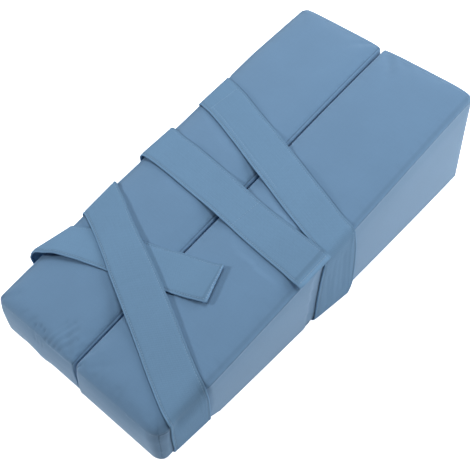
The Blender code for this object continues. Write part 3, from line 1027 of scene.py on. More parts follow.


# %% [markdown]
# ## Creases in the covers
#
# Most of each panel is smooth, but where a seam gathers the cloth it has short creases across the
# seam. A simulation would put creases where it likes, and sculpting can't be read or changed later, so
# each crease is a soft trough along a line. The clear ones in the photo are listed one by one, each as
# a line between two places with a half width and a depth. A few faint ones follow along every top seam
# at uneven distances, from a seeded random generator, because a sewn seam is never without them.

# %% Table of creases
# (along from the thin end, across from the middle line, height or None for the top) of both ends,
# then half width and depth, all in millimetres; a depth below nothing is a low ridge
CREASES = {
    "left": (
        ((7, 70, None), (-1, 66, 44), 1.5, 1.10),
        ((9, 63, None), (-1, 60, 42), 1.5, 1.30),
        ((8, 56, None), (-1, 54, 42), 1.5, 1.20),
        ((4, 66.5, 57), (-1, 63, 44), 1.3, -0.50),
        ((4, 59.5, 57), (-1, 57, 44), 1.3, -0.50),
        ((2, 49, 56), (30, 41, None), 2.2, 1.30),
        ((2, 42, 56), (36, 33, None), 2.4, 1.50),
        ((2, 34, 56), (32, 25, None), 2.4, 1.30),
        ((3, 26, 57), (24, 17, None), 2.2, 0.90),
        ((6, 45, None), (33, 37.5, None), 1.8, -0.50),
        ((6, 38, None), (33, 29.5, None), 1.8, -0.55),
        ((6, 30, None), (28, 21.5, None), 1.8, -0.45),
        ((1, 46, 54), (1, 14, 54), 2.2, -0.60),
        ((2, 80, None), (13, 75, None), 2.4, 0.45),
        ((2, 96, None), (12, 90, None), 2.4, 0.35),
        ((0, 66, 2), (0, 66, 14), 11.0, -1.30),
        ((0, 96, 4), (0, 90, 18), 8.0, 0.50),
    ),
    "right": (
        ((-2, -126, 48), (16, -136, 54), 7.0, 0.8),
        ((3, -30, None), (20, -34, None), 3.0, 0.25),
        ((3, -70, None), (22, -66, None), 3.5, 0.25),
    ),
}
PUCKER_SEEDS = {"left": 4, "right": 9}
# the faint creases, in millimetres: their pitch, how far the first and last are from the seam's ends,
# where they start beside the seam, and then the ranges of how far they reach, how far they slant, their
# half width and their depth; the last range is the distance to the next one as a share of the pitch
PUCKER_PITCH = 17.0
PUCKER_MARGIN = 8.0
PUCKER_START = 0.5
PUCKER_REACHES = (5, 13)
PUCKER_SLANTS = (-5, 5)
PUCKER_WIDTHS = (1.6, 3.0)
PUCKER_DEPTHS = (0.05, 0.26)
PUCKER_GAPS = (0.5, 1.6)


def crease_place(along, across, height):
    """A place of the table in metres, on the sloping top where no height is given."""
    x = along * MM - LENGTH / 2
    z = height_at(x) if height is None else height * MM
    return np.array((x, MIDDLE_Y + across * MM, z))


def seam_puckers(side_name):
    """Faint creases across the top seams, at uneven distances."""
    random = np.random.default_rng(PUCKER_SEEDS[side_name])
    side = 1 if side_name == "left" else -1
    length, width = LENGTH / MM, BLOCK_WIDTH / MM
    rows = []
    for run, place in ((length, lambda at, inset: (at, side * (width - inset), None)),
                       (length, lambda at, inset: (at, side * inset, None)),
                       (width, lambda at, inset: (inset, side * at, None)),
                       (width, lambda at, inset: (length - inset, side * at, None))):
        at = random.uniform(PUCKER_MARGIN, PUCKER_PITCH)
        while at < run - PUCKER_MARGIN:
            reach, slant = random.uniform(*PUCKER_REACHES), random.uniform(*PUCKER_SLANTS)
            half_width, depth = random.uniform(*PUCKER_WIDTHS), random.uniform(*PUCKER_DEPTHS)
            rows.append((place(at, PUCKER_START), place(at + slant, reach), half_width, depth))
            at += random.uniform(*PUCKER_GAPS) * PUCKER_PITCH
    return rows


def crease_depth(side_name, points):
    """How deep the creases sink each point; less than nothing on a ridge."""
    depth_here = np.zeros(len(points))
    for first, last, width, depth in (*CREASES[side_name], *seam_puckers(side_name)):
        near = segment_distance(points, crease_place(*first), crease_place(*last))
        depth_here += depth * MM * bump(near, width * MM)
    return depth_here


# %% [markdown]
# ## One grid, coarse or fine
#
# The same formulas make the fine cover and a coarse one for a simulation. With the points go the
# quads, the distances for the shader, the places of the grid's rows on each side, and the points that
# a simulation has to hold: the seams and the underside.

# %% Points of a whole wedge
MEAN_HEIGHT = (THIN_END_HEIGHT + THICK_END_HEIGHT) / 2


def wedge_grid(side_name, edge_steps, step_along, step_across, count_up):
    """A wedge on a grid of the given fineness: its points, quads and what is known of each point."""
    over_length = steps_over(LENGTH, edge_steps, step_along)
    over_width = steps_over(BLOCK_WIDTH, edge_steps, step_across)
    fixed, shares = steps_up(edge_steps, count_up)
    border = edge_steps[-1]
    (i, j, k), number, quads = shell_grid((len(over_length), len(over_width), len(fixed)))
    points, from_seam, from_edge = wedge_points(side_name, over_length[i] - LENGTH / 2, over_width[j],
                                                fixed[k], shares[k], border)
    if side_name == "right":
        quads = [(axis, quad[:, ::-1]) for axis, quad in quads]
    sides_met = sum(np.isin(index, (0, len(row) - 1)).astype(int)
                    for index, row in ((i, over_length), (j, over_width), (k, fixed)))
    places = (over_length, over_width, fixed + shares * (MEAN_HEIGHT - 2 * border))
    return {"points": points, "quads": quads, "from_seam": from_seam, "from_edge": from_edge,
            "number": number, "places": places, "held": (sides_met > 1) | (k == 0)}


def grid_mesh(name, grid):
    """Mesh of a wedge's grid."""
    mesh = bpy.data.meshes.new(name)
    mesh.from_pydata(grid["points"], [], np.concatenate([quad for axis, quad in grid["quads"]]).tolist())
    return mesh


def mesh_normals(mesh):
    """Normals of a mesh's points."""
    normals = np.zeros(len(mesh.vertices) * 3)
    mesh.vertex_normals.foreach_get("vector", normals)
    return normals.reshape(-1, 3)


# %% [markdown]
# ## The swell of the padding
#
# A cover is tight cloth over foam, and cloth under pressure finds its own form: full in the middle of
# a panel, flat along its seams, and fuller on a wide panel than on a narrow one. A formula gives each
# panel the same swell, so it is simulated. A coarse copy of the wedge is made of cloth, held at its
# seams and underside, and blown up a little with no gravity. A real cover soon stops stretching, so
# each point's way is capped softly. The coarse copy and the fine mesh are the same kind of grid, so
# the swell is carried over panel by panel on smooth curves, and the seams stay as fine as they were.

# %% Simulate the swell
SWELL_PRESSURE = 4.0
SWELL_FRAMES = 20
SWELL_LIMIT = 2.6 * MM
COARSE_FACE_STEP = 7.0 * MM
COARSE_STEPS_UP = 10


def simulated_shift(side_name, grid):
    """How far each point of a coarse wedge moves when its cover is blown up a little."""
    trial = bpy.data.objects.new("trial_" + side_name, grid_mesh("trial_" + side_name, grid))
    scene = bpy.context.scene
    scene.collection.objects.link(trial)
    held = trial.vertex_groups.new(name="held")
    held.add(np.flatnonzero(grid["held"]).tolist(), 1.0, "REPLACE")
    cloth = trial.modifiers.new("cloth", "CLOTH")
    cloth.settings.vertex_group_mass = held.name
    cloth.settings.use_pressure = True
    cloth.settings.uniform_pressure_force = SWELL_PRESSURE
    cloth.settings.effector_weights.gravity = 0.0
    cloth.point_cache.frame_end = SWELL_FRAMES
    for frame_number in range(1, SWELL_FRAMES + 1):
        scene.frame_set(frame_number)
    evaluated = trial.evaluated_get(bpy.context.evaluated_depsgraph_get())
    places = np.zeros(len(grid["points"]) * 3)
    evaluated.data.vertices.foreach_get("co", places)
    shift = places.reshape(-1, 3) - grid["points"]
    bpy.data.objects.remove(trial)
    scene.frame_set(1)
    way = np.linalg.norm(shift, axis=1, keepdims=True)
    print("the cloth of the", side_name, "cover swelled by up to", round(float(way.max()) / MM, 2), "mm")
    return shift * SWELL_LIMIT / (SWELL_LIMIT + way)


def smooth_rows(coarse, fine):
    """Weights that carry values from coarse places to fine ones along a smooth curve."""
    cell = np.clip(np.searchsorted(coarse, fine, side="right") - 1, 0, len(coarse) - 2)
    share = (fine - coarse[cell]) / (coarse[cell + 1] - coarse[cell])
    # a Catmull-Rom curve: the weights of the coarse place before the cell, its two ends, and the next
    weights = ((-share + 2 * share ** 2 - share ** 3) / 2, (2 - 5 * share ** 2 + 3 * share ** 3) / 2,
               (share + 4 * share ** 2 - 3 * share ** 3) / 2, (share ** 3 - share ** 2) / 2)
    rows = np.zeros((len(fine), len(coarse)))
    for offset, weight in enumerate(weights):
        column = np.clip(cell + offset - 1, 0, len(coarse) - 1)
        np.add.at(rows, (np.arange(len(fine)), column), weight)
    return rows


def swell(side_name, grid):
    """Points of the fine grid, moved as the simulated cloth moved."""
    coarse = wedge_grid(side_name, COARSE_EDGE_STEPS, COARSE_FACE_STEP, COARSE_FACE_STEP, COARSE_STEPS_UP)
    shift = simulated_shift(side_name, coarse)
    moved = grid["points"].copy()
    for axis in range(3):
        first, second = [smooth_rows(coarse["places"][other], grid["places"][other])
                         for other in range(3) if other != axis]
        for end in (0, -1):
            here = np.take(grid["number"], end, axis=axis)
            panel = shift[np.take(coarse["number"], end, axis=axis)]
            moved[here] = grid["points"][here] + np.einsum("ai,ijc,bj->abc", first, panel, second)
    return moved


# %% [markdown]
# ## The straps press on the cover
#
# Cloth can't go through cloth. A collision in the simulation would see to that, but it needs many more
# steps and leaves a gap as wide as its margin. Here it is done by measuring. For each point of the
# cover the nearest point on the inner face of a strap is found. Where the cover would stand above it,
# the point goes down to just under the strap, and beside a strap the cover may rise only slowly, which
# leaves a soft dent along the hem.

# %% Press of the straps
# how far under a strap the cover stays, how steeply it rises beside it, and how far off that is felt
PRESS_GAP = 0.32 * MM
PRESS_RISE = 0.22
PRESS_REACH = 16 * MM


def strap_inner_faces():
    """Search tree over the inner faces of both straps."""
    points, faces = [], []
    for strap in straps.values():
        inner = strap["middle"] - strap["normal"] * strap["half"][..., None]
        rows, columns = inner.shape[:2]
        number = np.arange(rows * columns).reshape(rows, columns) + len(points)
        points.extend(inner.reshape(-1, 3).tolist())
        corners = (number[:-1, :-1], number[1:, :-1], number[1:, 1:], number[:-1, 1:])
        faces.extend(np.stack(corners, axis=-1).reshape(-1, 4).tolist())
    return BVHTree.FromPolygons(points, faces)


def press_under_straps(points):
    """The points moved to just under the straps, how many moved, and how far each is from a strap."""
    tree = strap_inner_faces()
    pressed = points.copy()
    from_strap = np.full(len(points), PRESS_REACH)
    moved = 0
    for index, point in enumerate(points):
        place, normal, face, distance = tree.find_nearest(Vector(point), PRESS_REACH)
        if place is None:
            continue
        height = (Vector(point) - place).dot(normal)
        beside = math.sqrt(max(0.0, distance ** 2 - height ** 2))
        from_strap[index] = math.hypot(beside, max(0.0, abs(height) - STRAP_CLEARANCE))
        allowed = PRESS_RISE * beside - PRESS_GAP
        if height > allowed:
            pressed[index] = Vector(point) - normal * (height - allowed)
            moved += 1
    return pressed, moved, from_strap


def kept_apart(side_name, points):
    """The points' y, where the two covers press flat against each other and don't cross."""
    middle = MIDDLE_Y + gap_way(points[:, 0])
    if side_name == "left":
        return np.maximum(points[:, 1], middle + MIDDLE_GAP / 4)
    return np.minimum(points[:, 1], middle - MIDDLE_GAP / 4)


# %% [markdown]
# ## The covers
#
# A cover is made in the order in which the real one got its form: the sewn grid, the swell of the
# padding, the creases, the press of the straps, and last the flat line where the two covers meet. Four
# numbers are kept on each point for the shader: "seam", the distance from the nearest seam, "edge",
# the distance from the dip along the outer edge, "strap", the distance from the nearest strap, and
# "crease", the depth of a crease. By them the shader paints shade into seam grooves, the dip, the
# cloth under a strap's hem and the troughs of creases, and a highlight beside seams and on crease ridges.

# %% Build the covers
FACE_STEP_ALONG = 3.0 * MM
FACE_STEP_ACROSS = 2.0 * MM
STEPS_UP = 28


def padded_wedge(side_name):
    """Fine closed mesh of one wedge, with a flat cloth coordinate in metres on each panel."""
    grid = wedge_grid(side_name, EDGE_STEPS, FACE_STEP_ALONG, FACE_STEP_ACROSS, STEPS_UP)
    panel_axes = {0: (1, 2), 1: (0, 2), 2: (0, 1)}
    flat = np.concatenate([grid["points"][quad][..., panel_axes[axis]] for axis, quad in grid["quads"]])
    grid["points"] = swell(side_name, grid)
    mesh = grid_mesh("cover_" + side_name, grid)
    creased = crease_depth(side_name, grid["points"])
    points = grid["points"] - mesh_normals(mesh) * creased[:, None]
    points, pressed, from_strap = press_under_straps(points)
    points[:, 2] = points[:, 2].clip(min=0)
    points[:, 1] = kept_apart(side_name, points)
    mesh.vertices.foreach_set("co", points.reshape(-1))
    mesh.update()
    layer = mesh.uv_layers.new(name="cloth")
    layer.uv.foreach_set("vector", flat.reshape(-1))
    maps = {"seam": grid["from_seam"], "edge": grid["from_edge"], "strap": from_strap, "crease": creased}
    for name, numbers in maps.items():
        values = mesh.attributes.new(name, "FLOAT", "POINT")
        values.data.foreach_set("value", numbers.astype(np.float32))
    mesh.shade_smooth()
    cover = bpy.data.objects.new(mesh.name, mesh)
    bpy.context.scene.collection.objects.link(cover)
    print(cover.name, "has", len(mesh.polygons), "faces,", pressed, "points lie under a strap")
    return cover


covers = {side_name: padded_wedge(side_name) for side_name in ("left", "right")}

# %% [markdown]
# ## Cloths
#
# Both cloths come from one dye lot but are not the same. The covers are a polyester plain weave whose
# face was brushed, so it is matt, hides its threads under a short nap, and turns paler where it is
# seen edge on (that is sheen, and it is why the upright sides look lighter than the top). The straps
# are the same yarn left unbrushed: no nap, so no paleness, and its threads and their thick places
# (slubs) show more. Neither is one even colour: dye takes a little more or less in each thread. Shade
# is painted darker into the grooves of seams, the dip along the outer edges, the cloth under strap
# hems, the dull thick-side hems, the stitch lines and the troughs of folds and creases; highlights are
# painted paler beside the seams, on crease ridges and along the pale hems. All of it is made of node
# patterns, laid on the flat map "cloth", whose unit is the metre. A scanned picture of cloth would show
# where it repeats, and a pattern can be changed by one number.

# %% Helpers for materials
# polyester's index of refraction
POLYESTER_IOR = 1.5
# the whole range of a pattern
WHOLE = (0, 1)


def linear_colour(hex_colour):
    """sRGB hex digits as linear red, green, blue and alpha."""
    shares = [int(hex_colour[i:i + 2], 16) / 255 for i in (0, 2, 4)]
    linear = [s / 12.92 if s <= 0.04045 else ((s + 0.055) / 1.055) ** 2.4 for s in shares]
    return (*linear, 1.0)


def add_node(tree, kind, inputs, **settings):
    """Add a node with its settings; an input is a value or the socket that it is linked to."""
    node = tree.nodes.new(kind)
    for key, value in settings.items():
        setattr(node, key, value)
    for key, value in inputs.items():
        if isinstance(value, bpy.types.NodeSocket):
            tree.links.new(value, node.inputs[key])
        else:
            node.inputs[key].default_value = value
    return node


def blended(tree, operation, rows):
    """One socket from several patterns, each laid from one range over another, then joined in turn."""
    result = None
    for pattern, (from_low, from_high), (to_low, to_high), step in rows:
        ranges = {"Value": pattern, "From Min": from_low, "From Max": from_high,
                  "To Min": to_low, "To Max": to_high}
        part = add_node(tree, "ShaderNodeMapRange", ranges, interpolation_type=step).outputs["Result"]
        if result is not None:
            part = add_node(tree, "ShaderNodeMath", {0: result, 1: part}, operation=operation).outputs[0]
        result = part
    return result


def dress(material, colour, brightness, roughness, relief, relief_height):
    """Give a material its colour times a brightness, its roughness and its fine relief."""
    tree = material.node_tree
    tint = add_node(tree, "ShaderNodeHueSaturation", {"Color": linear_colour(colour), "Value": brightness})
    raised = {"Height": relief, "Distance": relief_height, "Strength": 1.0}
    bumps = add_node(tree, "ShaderNodeBump", raised)
    shader = tree.nodes["Principled BSDF"]
    for socket, name in ((tint.outputs["Color"], "Base Color"), (roughness, "Roughness"),
                         (bumps.outputs["Normal"], "Normal")):
        tree.links.new(socket, shader.inputs[name])
    shader.inputs["IOR"].default_value = POLYESTER_IOR


# %% [markdown]
# ## Threads, slubs and patches
#
# The real yarn lies about 0.45 mm apart, which is a third of a pixel here, so it would vanish. The
# threads are drawn 2.4 mm apart, the finest pitch that still shows. A plain weave is high where both
# sets of threads are over or both are under, so it is the product of two waves at right angles plus
# the product of what they leave. Slubs are long thin places, so they are noise stretched along each
# set of threads: about 1.3 mm wide and 22 mm long. Soft patches are plain noise in the piece's own
# space. The distances that were stored on the meshes are patterns too: they say where a seam, a hem or
# a crease is.

# %% Patterns of a cloth
THREAD_PITCH = 2.4 * MM
THREAD_WANDER = 0.8
# a wave texture at scale one repeats after this distance
WAVE_PITCH_AT_SCALE_ONE = 2 * math.pi / 20
SLUB_WIDTH = 1.3 * MM
SLUB_LENGTH = 22 * MM
# dye takes unevenly over patches of this size
MOTTLE_SIZE = 55 * MM
# noise seldom leaves this range
NOISE_RANGE = (0.3, 0.7)


def plain_weave(tree, flat):
    """Height of a plain weave, from 0 to 1."""
    waves = []
    for direction in ("X", "Y"):
        inputs = {"Vector": flat, "Scale": WAVE_PITCH_AT_SCALE_ONE / THREAD_PITCH,
                  "Distortion": THREAD_WANDER, "Detail": 1.0, "Detail Scale": 2.0}
        waves.append(add_node(tree, "ShaderNodeTexWave", inputs, bands_direction=direction).outputs["Fac"])
    over = blended(tree, "MULTIPLY", [(wave, WHOLE, (0, 1), "LINEAR") for wave in waves])
    under = blended(tree, "MULTIPLY", [(wave, WHOLE, (1, 0), "LINEAR") for wave in waves])
    return add_node(tree, "ShaderNodeMath", {0: over, 1: under}, operation="ADD").outputs[0]


def slubs(tree, flat):
    """Thicker and thinner places of both sets of threads, from about 0 to 1."""
    sets = []
    for size in ((SLUB_WIDTH, SLUB_LENGTH), (SLUB_LENGTH, SLUB_WIDTH)):
        stretch = {"Vector": flat, "Scale": (1 / size[0], 1 / size[1], 1)}
        stretched = add_node(tree, "ShaderNodeMapping", stretch).outputs["Vector"]
        inputs = {"Vector": stretched, "Scale": 1.0, "Detail": 2.0, "Roughness": 0.6}
        sets.append(add_node(tree, "ShaderNodeTexNoise", inputs).outputs["Fac"])
    both = add_node(tree, "ShaderNodeMath", {0: sets[0], 1: sets[1]}, operation="ADD").outputs[0]
    ranges = {"Value": both, "From Min": 2 * NOISE_RANGE[0], "From Max": 2 * NOISE_RANGE[1]}
    return add_node(tree, "ShaderNodeMapRange", ranges).outputs["Result"]


def patches(tree, size, detail):
    """Soft patches of about a given size in the piece's own space, from about 0 to 1."""
    place = add_node(tree, "ShaderNodeTexCoord", {}).outputs["Object"]
    inputs = {"Vector": place, "Scale": 1 / size, "Detail": detail, "Roughness": 0.5}
    noise_here = add_node(tree, "ShaderNodeTexNoise", inputs).outputs["Fac"]
    return blended(tree, "ADD", [(noise_here, NOISE_RANGE, (0, 1), "LINEAR")])


def cloth_patterns(material, maps):
    """The patterns of a cloth by name: weave, slubs, mottle, and the maps stored on its meshes."""
    tree = material.node_tree
    flat = add_node(tree, "ShaderNodeUVMap", {}, uv_map="cloth").outputs["UV"]
    patterns = {"weave": plain_weave(tree, flat), "slubs": slubs(tree, flat),
                "mottle": patches(tree, MOTTLE_SIZE, 3.0)}
    for name in maps:
        patterns[name] = add_node(tree, "ShaderNodeAttribute", {}, attribute_name=name).outputs["Fac"]
    return patterns


def named_rows(patterns, table):
    """Rows for the blend, with each pattern's name in the table exchanged for its socket."""
    return [(patterns[name], *ranges) for name, *ranges in table]


# %% [markdown]
# ## Brushed polyester, for the covers
#
# The covers are woven from filament yarn, then brushed and dyed in the piece. Polyester has an IOR of
# about 1.5, but a brushed face scatters nearly all light, so its shine is weak and very rough. The nap
# hides most of the weave and gives the sheen. Near a seam the cloth is gathered, so it has a few small
# bumps there; the groove itself is painted darker as shade, and the allowance ridge beside it is painted
# paler as a highlight. The nap could be made of short hairs, but at this size they would only blur into
# the sheen. Each row of the table lays one pattern over a range of brightness, and the dye's colour is
# multiplied by the product of them all: the first three rows are the dye's own unevenness, the rest
# are painted shade and highlight.

# %% Tables of the cover cloth
COVER_COLOUR = "698cae"
COVER_MAPS = ("seam", "strap", "edge", "crease")
NAP_SIZE = 3.0 * MM
GATHER_SIZE = 6.0 * MM
# pattern, its range, the brightness at both ends of it, and the kind of step between them
COVER_BRIGHTNESS = (
    ("slubs", WHOLE, (0.975, 1.025), "LINEAR"),
    ("weave", WHOLE, (0.99, 1.01), "LINEAR"),
    ("mottle", WHOLE, (0.975, 1.025), "LINEAR"),
    # painted shade in the groove of a seam
    ("seam", (0.2 * MM, 1.2 * MM), (0.72, 1.0), "SMOOTHSTEP"),
    # painted highlight on the allowance ridge beside it
    ("seam_highlight", WHOLE, (1.0, 1.07), "LINEAR"),
    # the shade under a strap's hem
    ("strap", (0.6 * MM, 3.2 * MM), (0.43, 1.0), "SMOOTHSTEP"),
    # painted shade in the dip along the outer edge
    ("edge", (0.5 * MM, 4.4 * MM), (0.90, 1.0), "SMOOTHSTEP"),
    # painted shade in a crease's trough and a painted highlight on its ridge
    ("crease", (-0.5 * MM, 1.0 * MM), (1.07, 0.86), "LINEAR"),
)
# the band beside a seam that is painted paler as a highlight on the allowance ridge
PAINTED_SEAM_HIGHLIGHT = (
    ("seam", (1.0 * MM, 1.9 * MM), (0, 1), "SMOOTHSTEP"),
    ("seam", (1.9 * MM, 3.2 * MM), (1, 0), "SMOOTHSTEP"),
)
GATHERS = (
    ("gather patches", WHOLE, (0, 1), "LINEAR"),
    ("seam", (2.0 * MM, 9.0 * MM), (1, 0), "SMOOTHSTEP"),
)
# each pattern's share of the relief
COVER_RELIEF = (
    ("weave", WHOLE, (0, 0.10), "LINEAR"),
    ("slubs", WHOLE, (0, 0.30), "LINEAR"),
    ("nap", WHOLE, (0, 0.25), "LINEAR"),
    ("gathers", WHOLE, (0, 2.2), "LINEAR"),
)
COVER_RELIEF_HEIGHT = 0.12 * MM

# %% [markdown]
# The rest of the finish is a few single values. Roughness is high and follows the slubs, because thick
# places of the yarn are fuzzier. Shine is low and sheen is high, as on any brushed cloth.

# %% Cover cloth
# from the thin threads to the thick ones
COVER_ROUGHNESS = (0.84, 0.96)
COVER_SHINE = 0.2
COVER_SHEEN = 0.72
SHEEN_ROUGHNESS = 0.5
# light that grazes the nap keeps a little of the dye
SHEEN_COLOUR = "d6ebff"


def brushed_cover_cloth():
    """Material of the covers."""
    material = bpy.data.materials.new("brushed polyester cover cloth")
    material.use_nodes = True
    tree = material.node_tree
    patterns = cloth_patterns(material, COVER_MAPS)
    patterns["nap"] = patches(tree, NAP_SIZE, 2.0)
    patterns["gather patches"] = patches(tree, GATHER_SIZE, 1.0)
    patterns["seam_highlight"] = blended(tree, "MULTIPLY", named_rows(patterns, PAINTED_SEAM_HIGHLIGHT))
    patterns["gathers"] = blended(tree, "MULTIPLY", named_rows(patterns, GATHERS))
    brightness = blended(tree, "MULTIPLY", named_rows(patterns, COVER_BRIGHTNESS))
    roughness = blended(tree, "ADD", [(patterns["slubs"], WHOLE, COVER_ROUGHNESS, "LINEAR")])
    relief = blended(tree, "ADD", named_rows(patterns, COVER_RELIEF))
    dress(material, COVER_COLOUR, brightness, roughness, relief, COVER_RELIEF_HEIGHT)
    shader = tree.nodes["Principled BSDF"]
    shader.inputs["Specular IOR Level"].default_value = COVER_SHINE
    shader.inputs["Sheen Weight"].default_value = COVER_SHEEN
    shader.inputs["Sheen Roughness"].default_value = SHEEN_ROUGHNESS
    shader.inputs["Sheen Tint"].default_value = linear_colour(SHEEN_COLOUR)
    return material


# %% [markdown]
# ## Plain woven polyester, for the straps
#
# The same yarn without a nap is smoother to the touch, so it is slightly less rough and its threads
# cast small shadows. The thin-side hems and the ends are painted pale as a highlight, and on the right
# side of the pillow the thick-side hems too; elsewhere the thick-side hem is painted dull as shade. The
# stitches press a line into the cloth a few millimetres inside each hem, and it is painted darker as
# shade, as is the trough of a fold. One material could serve both cloths, but then the straps would be
# as pale at the edges as the covers, and in the photo they are not.

# %% Strap cloth
STRAP_COLOUR = "6e92b3"
STRAP_MAPS = ("hem", "fold", "thick_hem")
STRAP_BRIGHTNESS = (
    ("slubs", WHOLE, (0.96, 1.04), "LINEAR"),
    ("weave", WHOLE, (0.98, 1.02), "LINEAR"),
    ("mottle", WHOLE, (0.98, 1.02), "LINEAR"),
    # painted highlight along the pale hems and the end
    ("hem", (0.9 * MM, 2.2 * MM), (1.22, 1.0), "SMOOTHSTEP"),
    # painted shade in the trough of a fold
    ("fold", (0.4 * MM, 4.5 * MM), (1.0, 0.84), "LINEAR"),
    # painted shade along the line that the stitches press into the cloth
    ("stitches", (1.5 * MM, 0.4 * MM), (1.0, 0.86), "SMOOTHSTEP"),
    # painted shade on the dull thick-side hem
    ("thick_hem", (0.4 * MM, 2.0 * MM), (0.80, 1.0), "SMOOTHSTEP"),
)
STRAP_RELIEF = (
    ("weave", WHOLE, (0, 0.40), "LINEAR"),
    ("slubs", WHOLE, (0, 0.60), "LINEAR"),
)
STRAP_RELIEF_HEIGHT = 0.16 * MM
STRAP_ROUGHNESS = (0.78, 0.92)
STRAP_SHINE = 0.2
# a few loose fibres are left on unbrushed yarn
STRAP_SHEEN = 0.04


def woven_strap_cloth():
    """Material of the straps."""
    material = bpy.data.materials.new("plain woven strap cloth")
    material.use_nodes = True
    tree = material.node_tree
    patterns = cloth_patterns(material, STRAP_MAPS)
    inside = add_node(tree, "ShaderNodeMath", {0: patterns["hem"], 1: STITCH_INSET}, operation="SUBTRACT")
    from_stitches = add_node(tree, "ShaderNodeMath", {0: inside.outputs[0]}, operation="ABSOLUTE")
    patterns["stitches"] = from_stitches.outputs[0]
    brightness = blended(tree, "MULTIPLY", named_rows(patterns, STRAP_BRIGHTNESS))
    roughness = blended(tree, "ADD", [(patterns["slubs"], WHOLE, STRAP_ROUGHNESS, "LINEAR")])
    relief = blended(tree, "ADD", named_rows(patterns, STRAP_RELIEF))
    dress(material, STRAP_COLOUR, brightness, roughness, relief, STRAP_RELIEF_HEIGHT)
    shader = tree.nodes["Principled BSDF"]
    shader.inputs["Specular IOR Level"].default_value = STRAP_SHINE
    shader.inputs["Sheen Weight"].default_value = STRAP_SHEEN
    shader.inputs["Sheen Roughness"].default_value = SHEEN_ROUGHNESS
    return material


# %% [markdown]
# ## Sewing thread
#
# Spun polyester thread in the colour of the cloth. It is twisted from two plies, which turns its
# surface into fine slanting ridges and gives it a little more shine than the cloth. The ridges are one
# wave pattern, which serves the colour, the roughness and the relief.

# %% Thread
THREAD_COLOUR = "98b5d0"
TWIST_PITCH = 0.9 * MM
# from the groove of the twist to its ridge
THREAD_BRIGHTNESS = (0.92, 1.05)
THREAD_ROUGHNESS = (0.75, 0.6)
THREAD_RELIEF_HEIGHT = 0.05 * MM
THREAD_SHINE = 0.3


def sewing_thread():
    """Material of the stitches."""
    material = bpy.data.materials.new("spun polyester sewing thread")
    material.use_nodes = True
    tree = material.node_tree
    place = add_node(tree, "ShaderNodeTexCoord", {}).outputs["Object"]
    inputs = {"Vector": place, "Scale": WAVE_PITCH_AT_SCALE_ONE / TWIST_PITCH}
    twist = add_node(tree, "ShaderNodeTexWave", inputs, bands_direction="DIAGONAL").outputs["Fac"]
    brightness = blended(tree, "ADD", [(twist, WHOLE, THREAD_BRIGHTNESS, "LINEAR")])
    roughness = blended(tree, "ADD", [(twist, WHOLE, THREAD_ROUGHNESS, "LINEAR")])
    dress(material, THREAD_COLOUR, brightness, roughness, twist, THREAD_RELIEF_HEIGHT)
    tree.nodes["Principled BSDF"].inputs["Specular IOR Level"].default_value = THREAD_SHINE
    return material


cover_material = brushed_cover_cloth()
strap_material = woven_strap_cloth()
thread_material = sewing_thread()
for cover in covers.values():
    cover.data.materials.append(cover_material)
for strap in straps.values():
    strap["band"].data.materials.append(strap_material)
    strap["stitches"].data.materials.append(thread_material)
print("cloths:", [material.name for material in (cover_material, strap_material, thread_material)])

# %% [markdown]
# ## Seat the pieces on the frame
#
# Nothing here moves by itself, so every piece rides on the root body. A cover stands for its block and
# a strap for its band, and the stitches go with their strap. The two slots let a user change the cloth
# Nothing here moves by itself, so every piece rides on the root body. A cover stands for its block and
# a strap for its band, and the stitches go with their strap. A cover is padded: pressed cloth with a
# filling behind it.

# %% Seat the pieces on the frame
for side_name, cover in covers.items():
    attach(cover, "root")
    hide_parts("block_" + side_name)
for name, strap in straps.items():
    for piece in (strap["band"], strap["stitches"]):
        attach(piece, "root")
    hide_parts("strap_" + name)

# %% [markdown]
# ## Floor
#
# The photo has a pure white ground with only a faint grey shadow. Paper lit until it is white would
# also throw much light back at the pillow, so the paper glows at full strength for the camera alone
# and far less for every other ray.

# %% Floor
SEEN_GLOW = 1.0
FLOOR_GLOW = 0.215
FLOOR_SIZE = 12
PAPER_COLOUR = "f8f8f8"
PAPER_ROUGHNESS = 0.9
WHITE = (1, 1, 1, 1)


def glow_for_camera(tree, glow):
    """A strength that is full for the camera and as given for every other ray."""
    seen = add_node(tree, "ShaderNodeLightPath", {}).outputs["Is Camera Ray"]
    return blended(tree, "ADD", [(seen, WHOLE, (glow, SEEN_GLOW), "LINEAR")])


bpy.ops.mesh.primitive_plane_add(size=FLOOR_SIZE)
floor = bpy.context.object
floor.name = "floor"
paper = bpy.data.materials.new("white studio paper")
paper.use_nodes = True
paper_shader = paper.node_tree.nodes["Principled BSDF"]
paper_shader.inputs["Base Color"].default_value = linear_colour(PAPER_COLOUR)
paper_shader.inputs["Roughness"].default_value = PAPER_ROUGHNESS
paper_shader.inputs["Specular IOR Level"].default_value = 0.0
paper_shader.inputs["Emission Color"].default_value = WHITE
paper_glow = glow_for_camera(paper.node_tree, FLOOR_GLOW)
paper.node_tree.links.new(paper_glow, paper_shader.inputs["Emission Strength"])
floor.data.materials.append(paper)
print(floor.name, "is", FLOOR_SIZE, "m wide")

# %% [markdown]
# ## Light
#
# Even light from several sides leaves only soft shadows, as a catalogue photo has. One lamp could do
# it if it were very large, but then the sides would be as bright as the top. So there are three large
# softboxes, far off, at the side and above, and each face has its own. The small one at the left is
# harder, and it draws the shadow of the lower strap's end. The surround is white to the camera only,
# like the paper.

# %% Light
WORLD_GLOW = 0.065
world = bpy.data.worlds.new("studio")
bpy.context.scene.world = world
world.use_nodes = True
surround = world.node_tree.nodes["Background"]
surround.inputs["Color"].default_value = WHITE
world_glow = glow_for_camera(world.node_tree, WORLD_GLOW)
world.node_tree.links.new(world_glow, surround.inputs["Strength"])
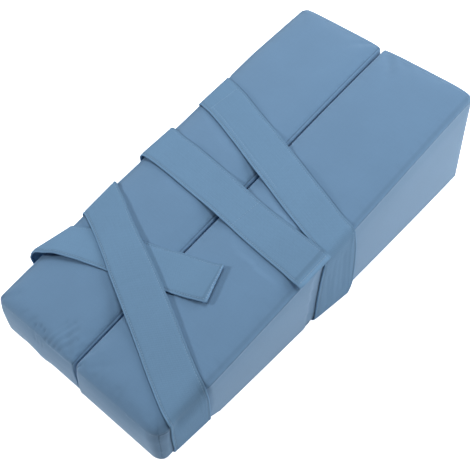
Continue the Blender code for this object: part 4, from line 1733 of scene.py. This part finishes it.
# name, place and width in metres, and power in watts; each one looks at the middle of the pillow
SOFTBOXES = (
    ("softbox_far", (1.7, -0.7, 1.1), 0.9, 16.4),
    ("softbox_side", (1.1, -1.6, 1.1), 0.9, 12.5),
    ("softbox_left", (-1.2, 1.2, 1.15), 0.25, 14.4),
    ("softbox_over", (0.4, 0.2, 1.7), 0.9, 15.4),
)
for name, place, size, power in SOFTBOXES:
    lamp = bpy.data.lights.new(name, "AREA")
    lamp.energy = power
    lamp.size = size
    softbox = bpy.data.objects.new(name, lamp)
    softbox.location = place
    softbox.rotation_euler = (-Vector(place)).to_track_quat("-Z", "Y").to_euler()
    bpy.context.scene.collection.objects.link(softbox)
print(len(SOFTBOXES), "softboxes of", sum(power for name, place, size, power in SOFTBOXES), "W in all")

# %% [markdown]
# ## Camera
#
# The camera's place, the way it looks and its focal length were worked out from where the pillow's
# corners lie in the photo, with the pillow's sizes known. Turning it by eye would be quicker, but a
# long wedge shows an error of one degree at once.

# %% Camera
# a camera looks along its own -Z, with +X to its right, so both ways are needed to turn it
CAMERA_PLACE = Vector((-0.51024, -0.49516, 0.91309))
LOOK = Vector((0.4423, 0.4406, -0.7812))
CAMERA_RIGHT = Vector((0.6745, -0.7375, -0.0341))
# both in millimetres
LENS = 69.23
SENSOR_WIDTH = 36.0
camera_data = bpy.data.cameras.new("camera")
camera_data.lens = LENS
camera_data.sensor_width = SENSOR_WIDTH
camera = bpy.data.objects.new("camera", camera_data)
back = -LOOK.normalized()
right = (CAMERA_RIGHT - CAMERA_RIGHT.dot(back) * back).normalized()
up = back.cross(right)
camera.matrix_world = Matrix((
    (right.x, up.x, back.x, CAMERA_PLACE.x),
    (right.y, up.y, back.y, CAMERA_PLACE.y),
    (right.z, up.z, back.z, CAMERA_PLACE.z),
    (0, 0, 0, 1),
))
bpy.context.scene.collection.objects.link(camera)
bpy.context.scene.camera = camera
bpy.context.scene.view_settings.view_transform = "Standard"
print("camera at", [round(value, 3) for value in CAMERA_PLACE], "m with a lens of", LENS, "mm")
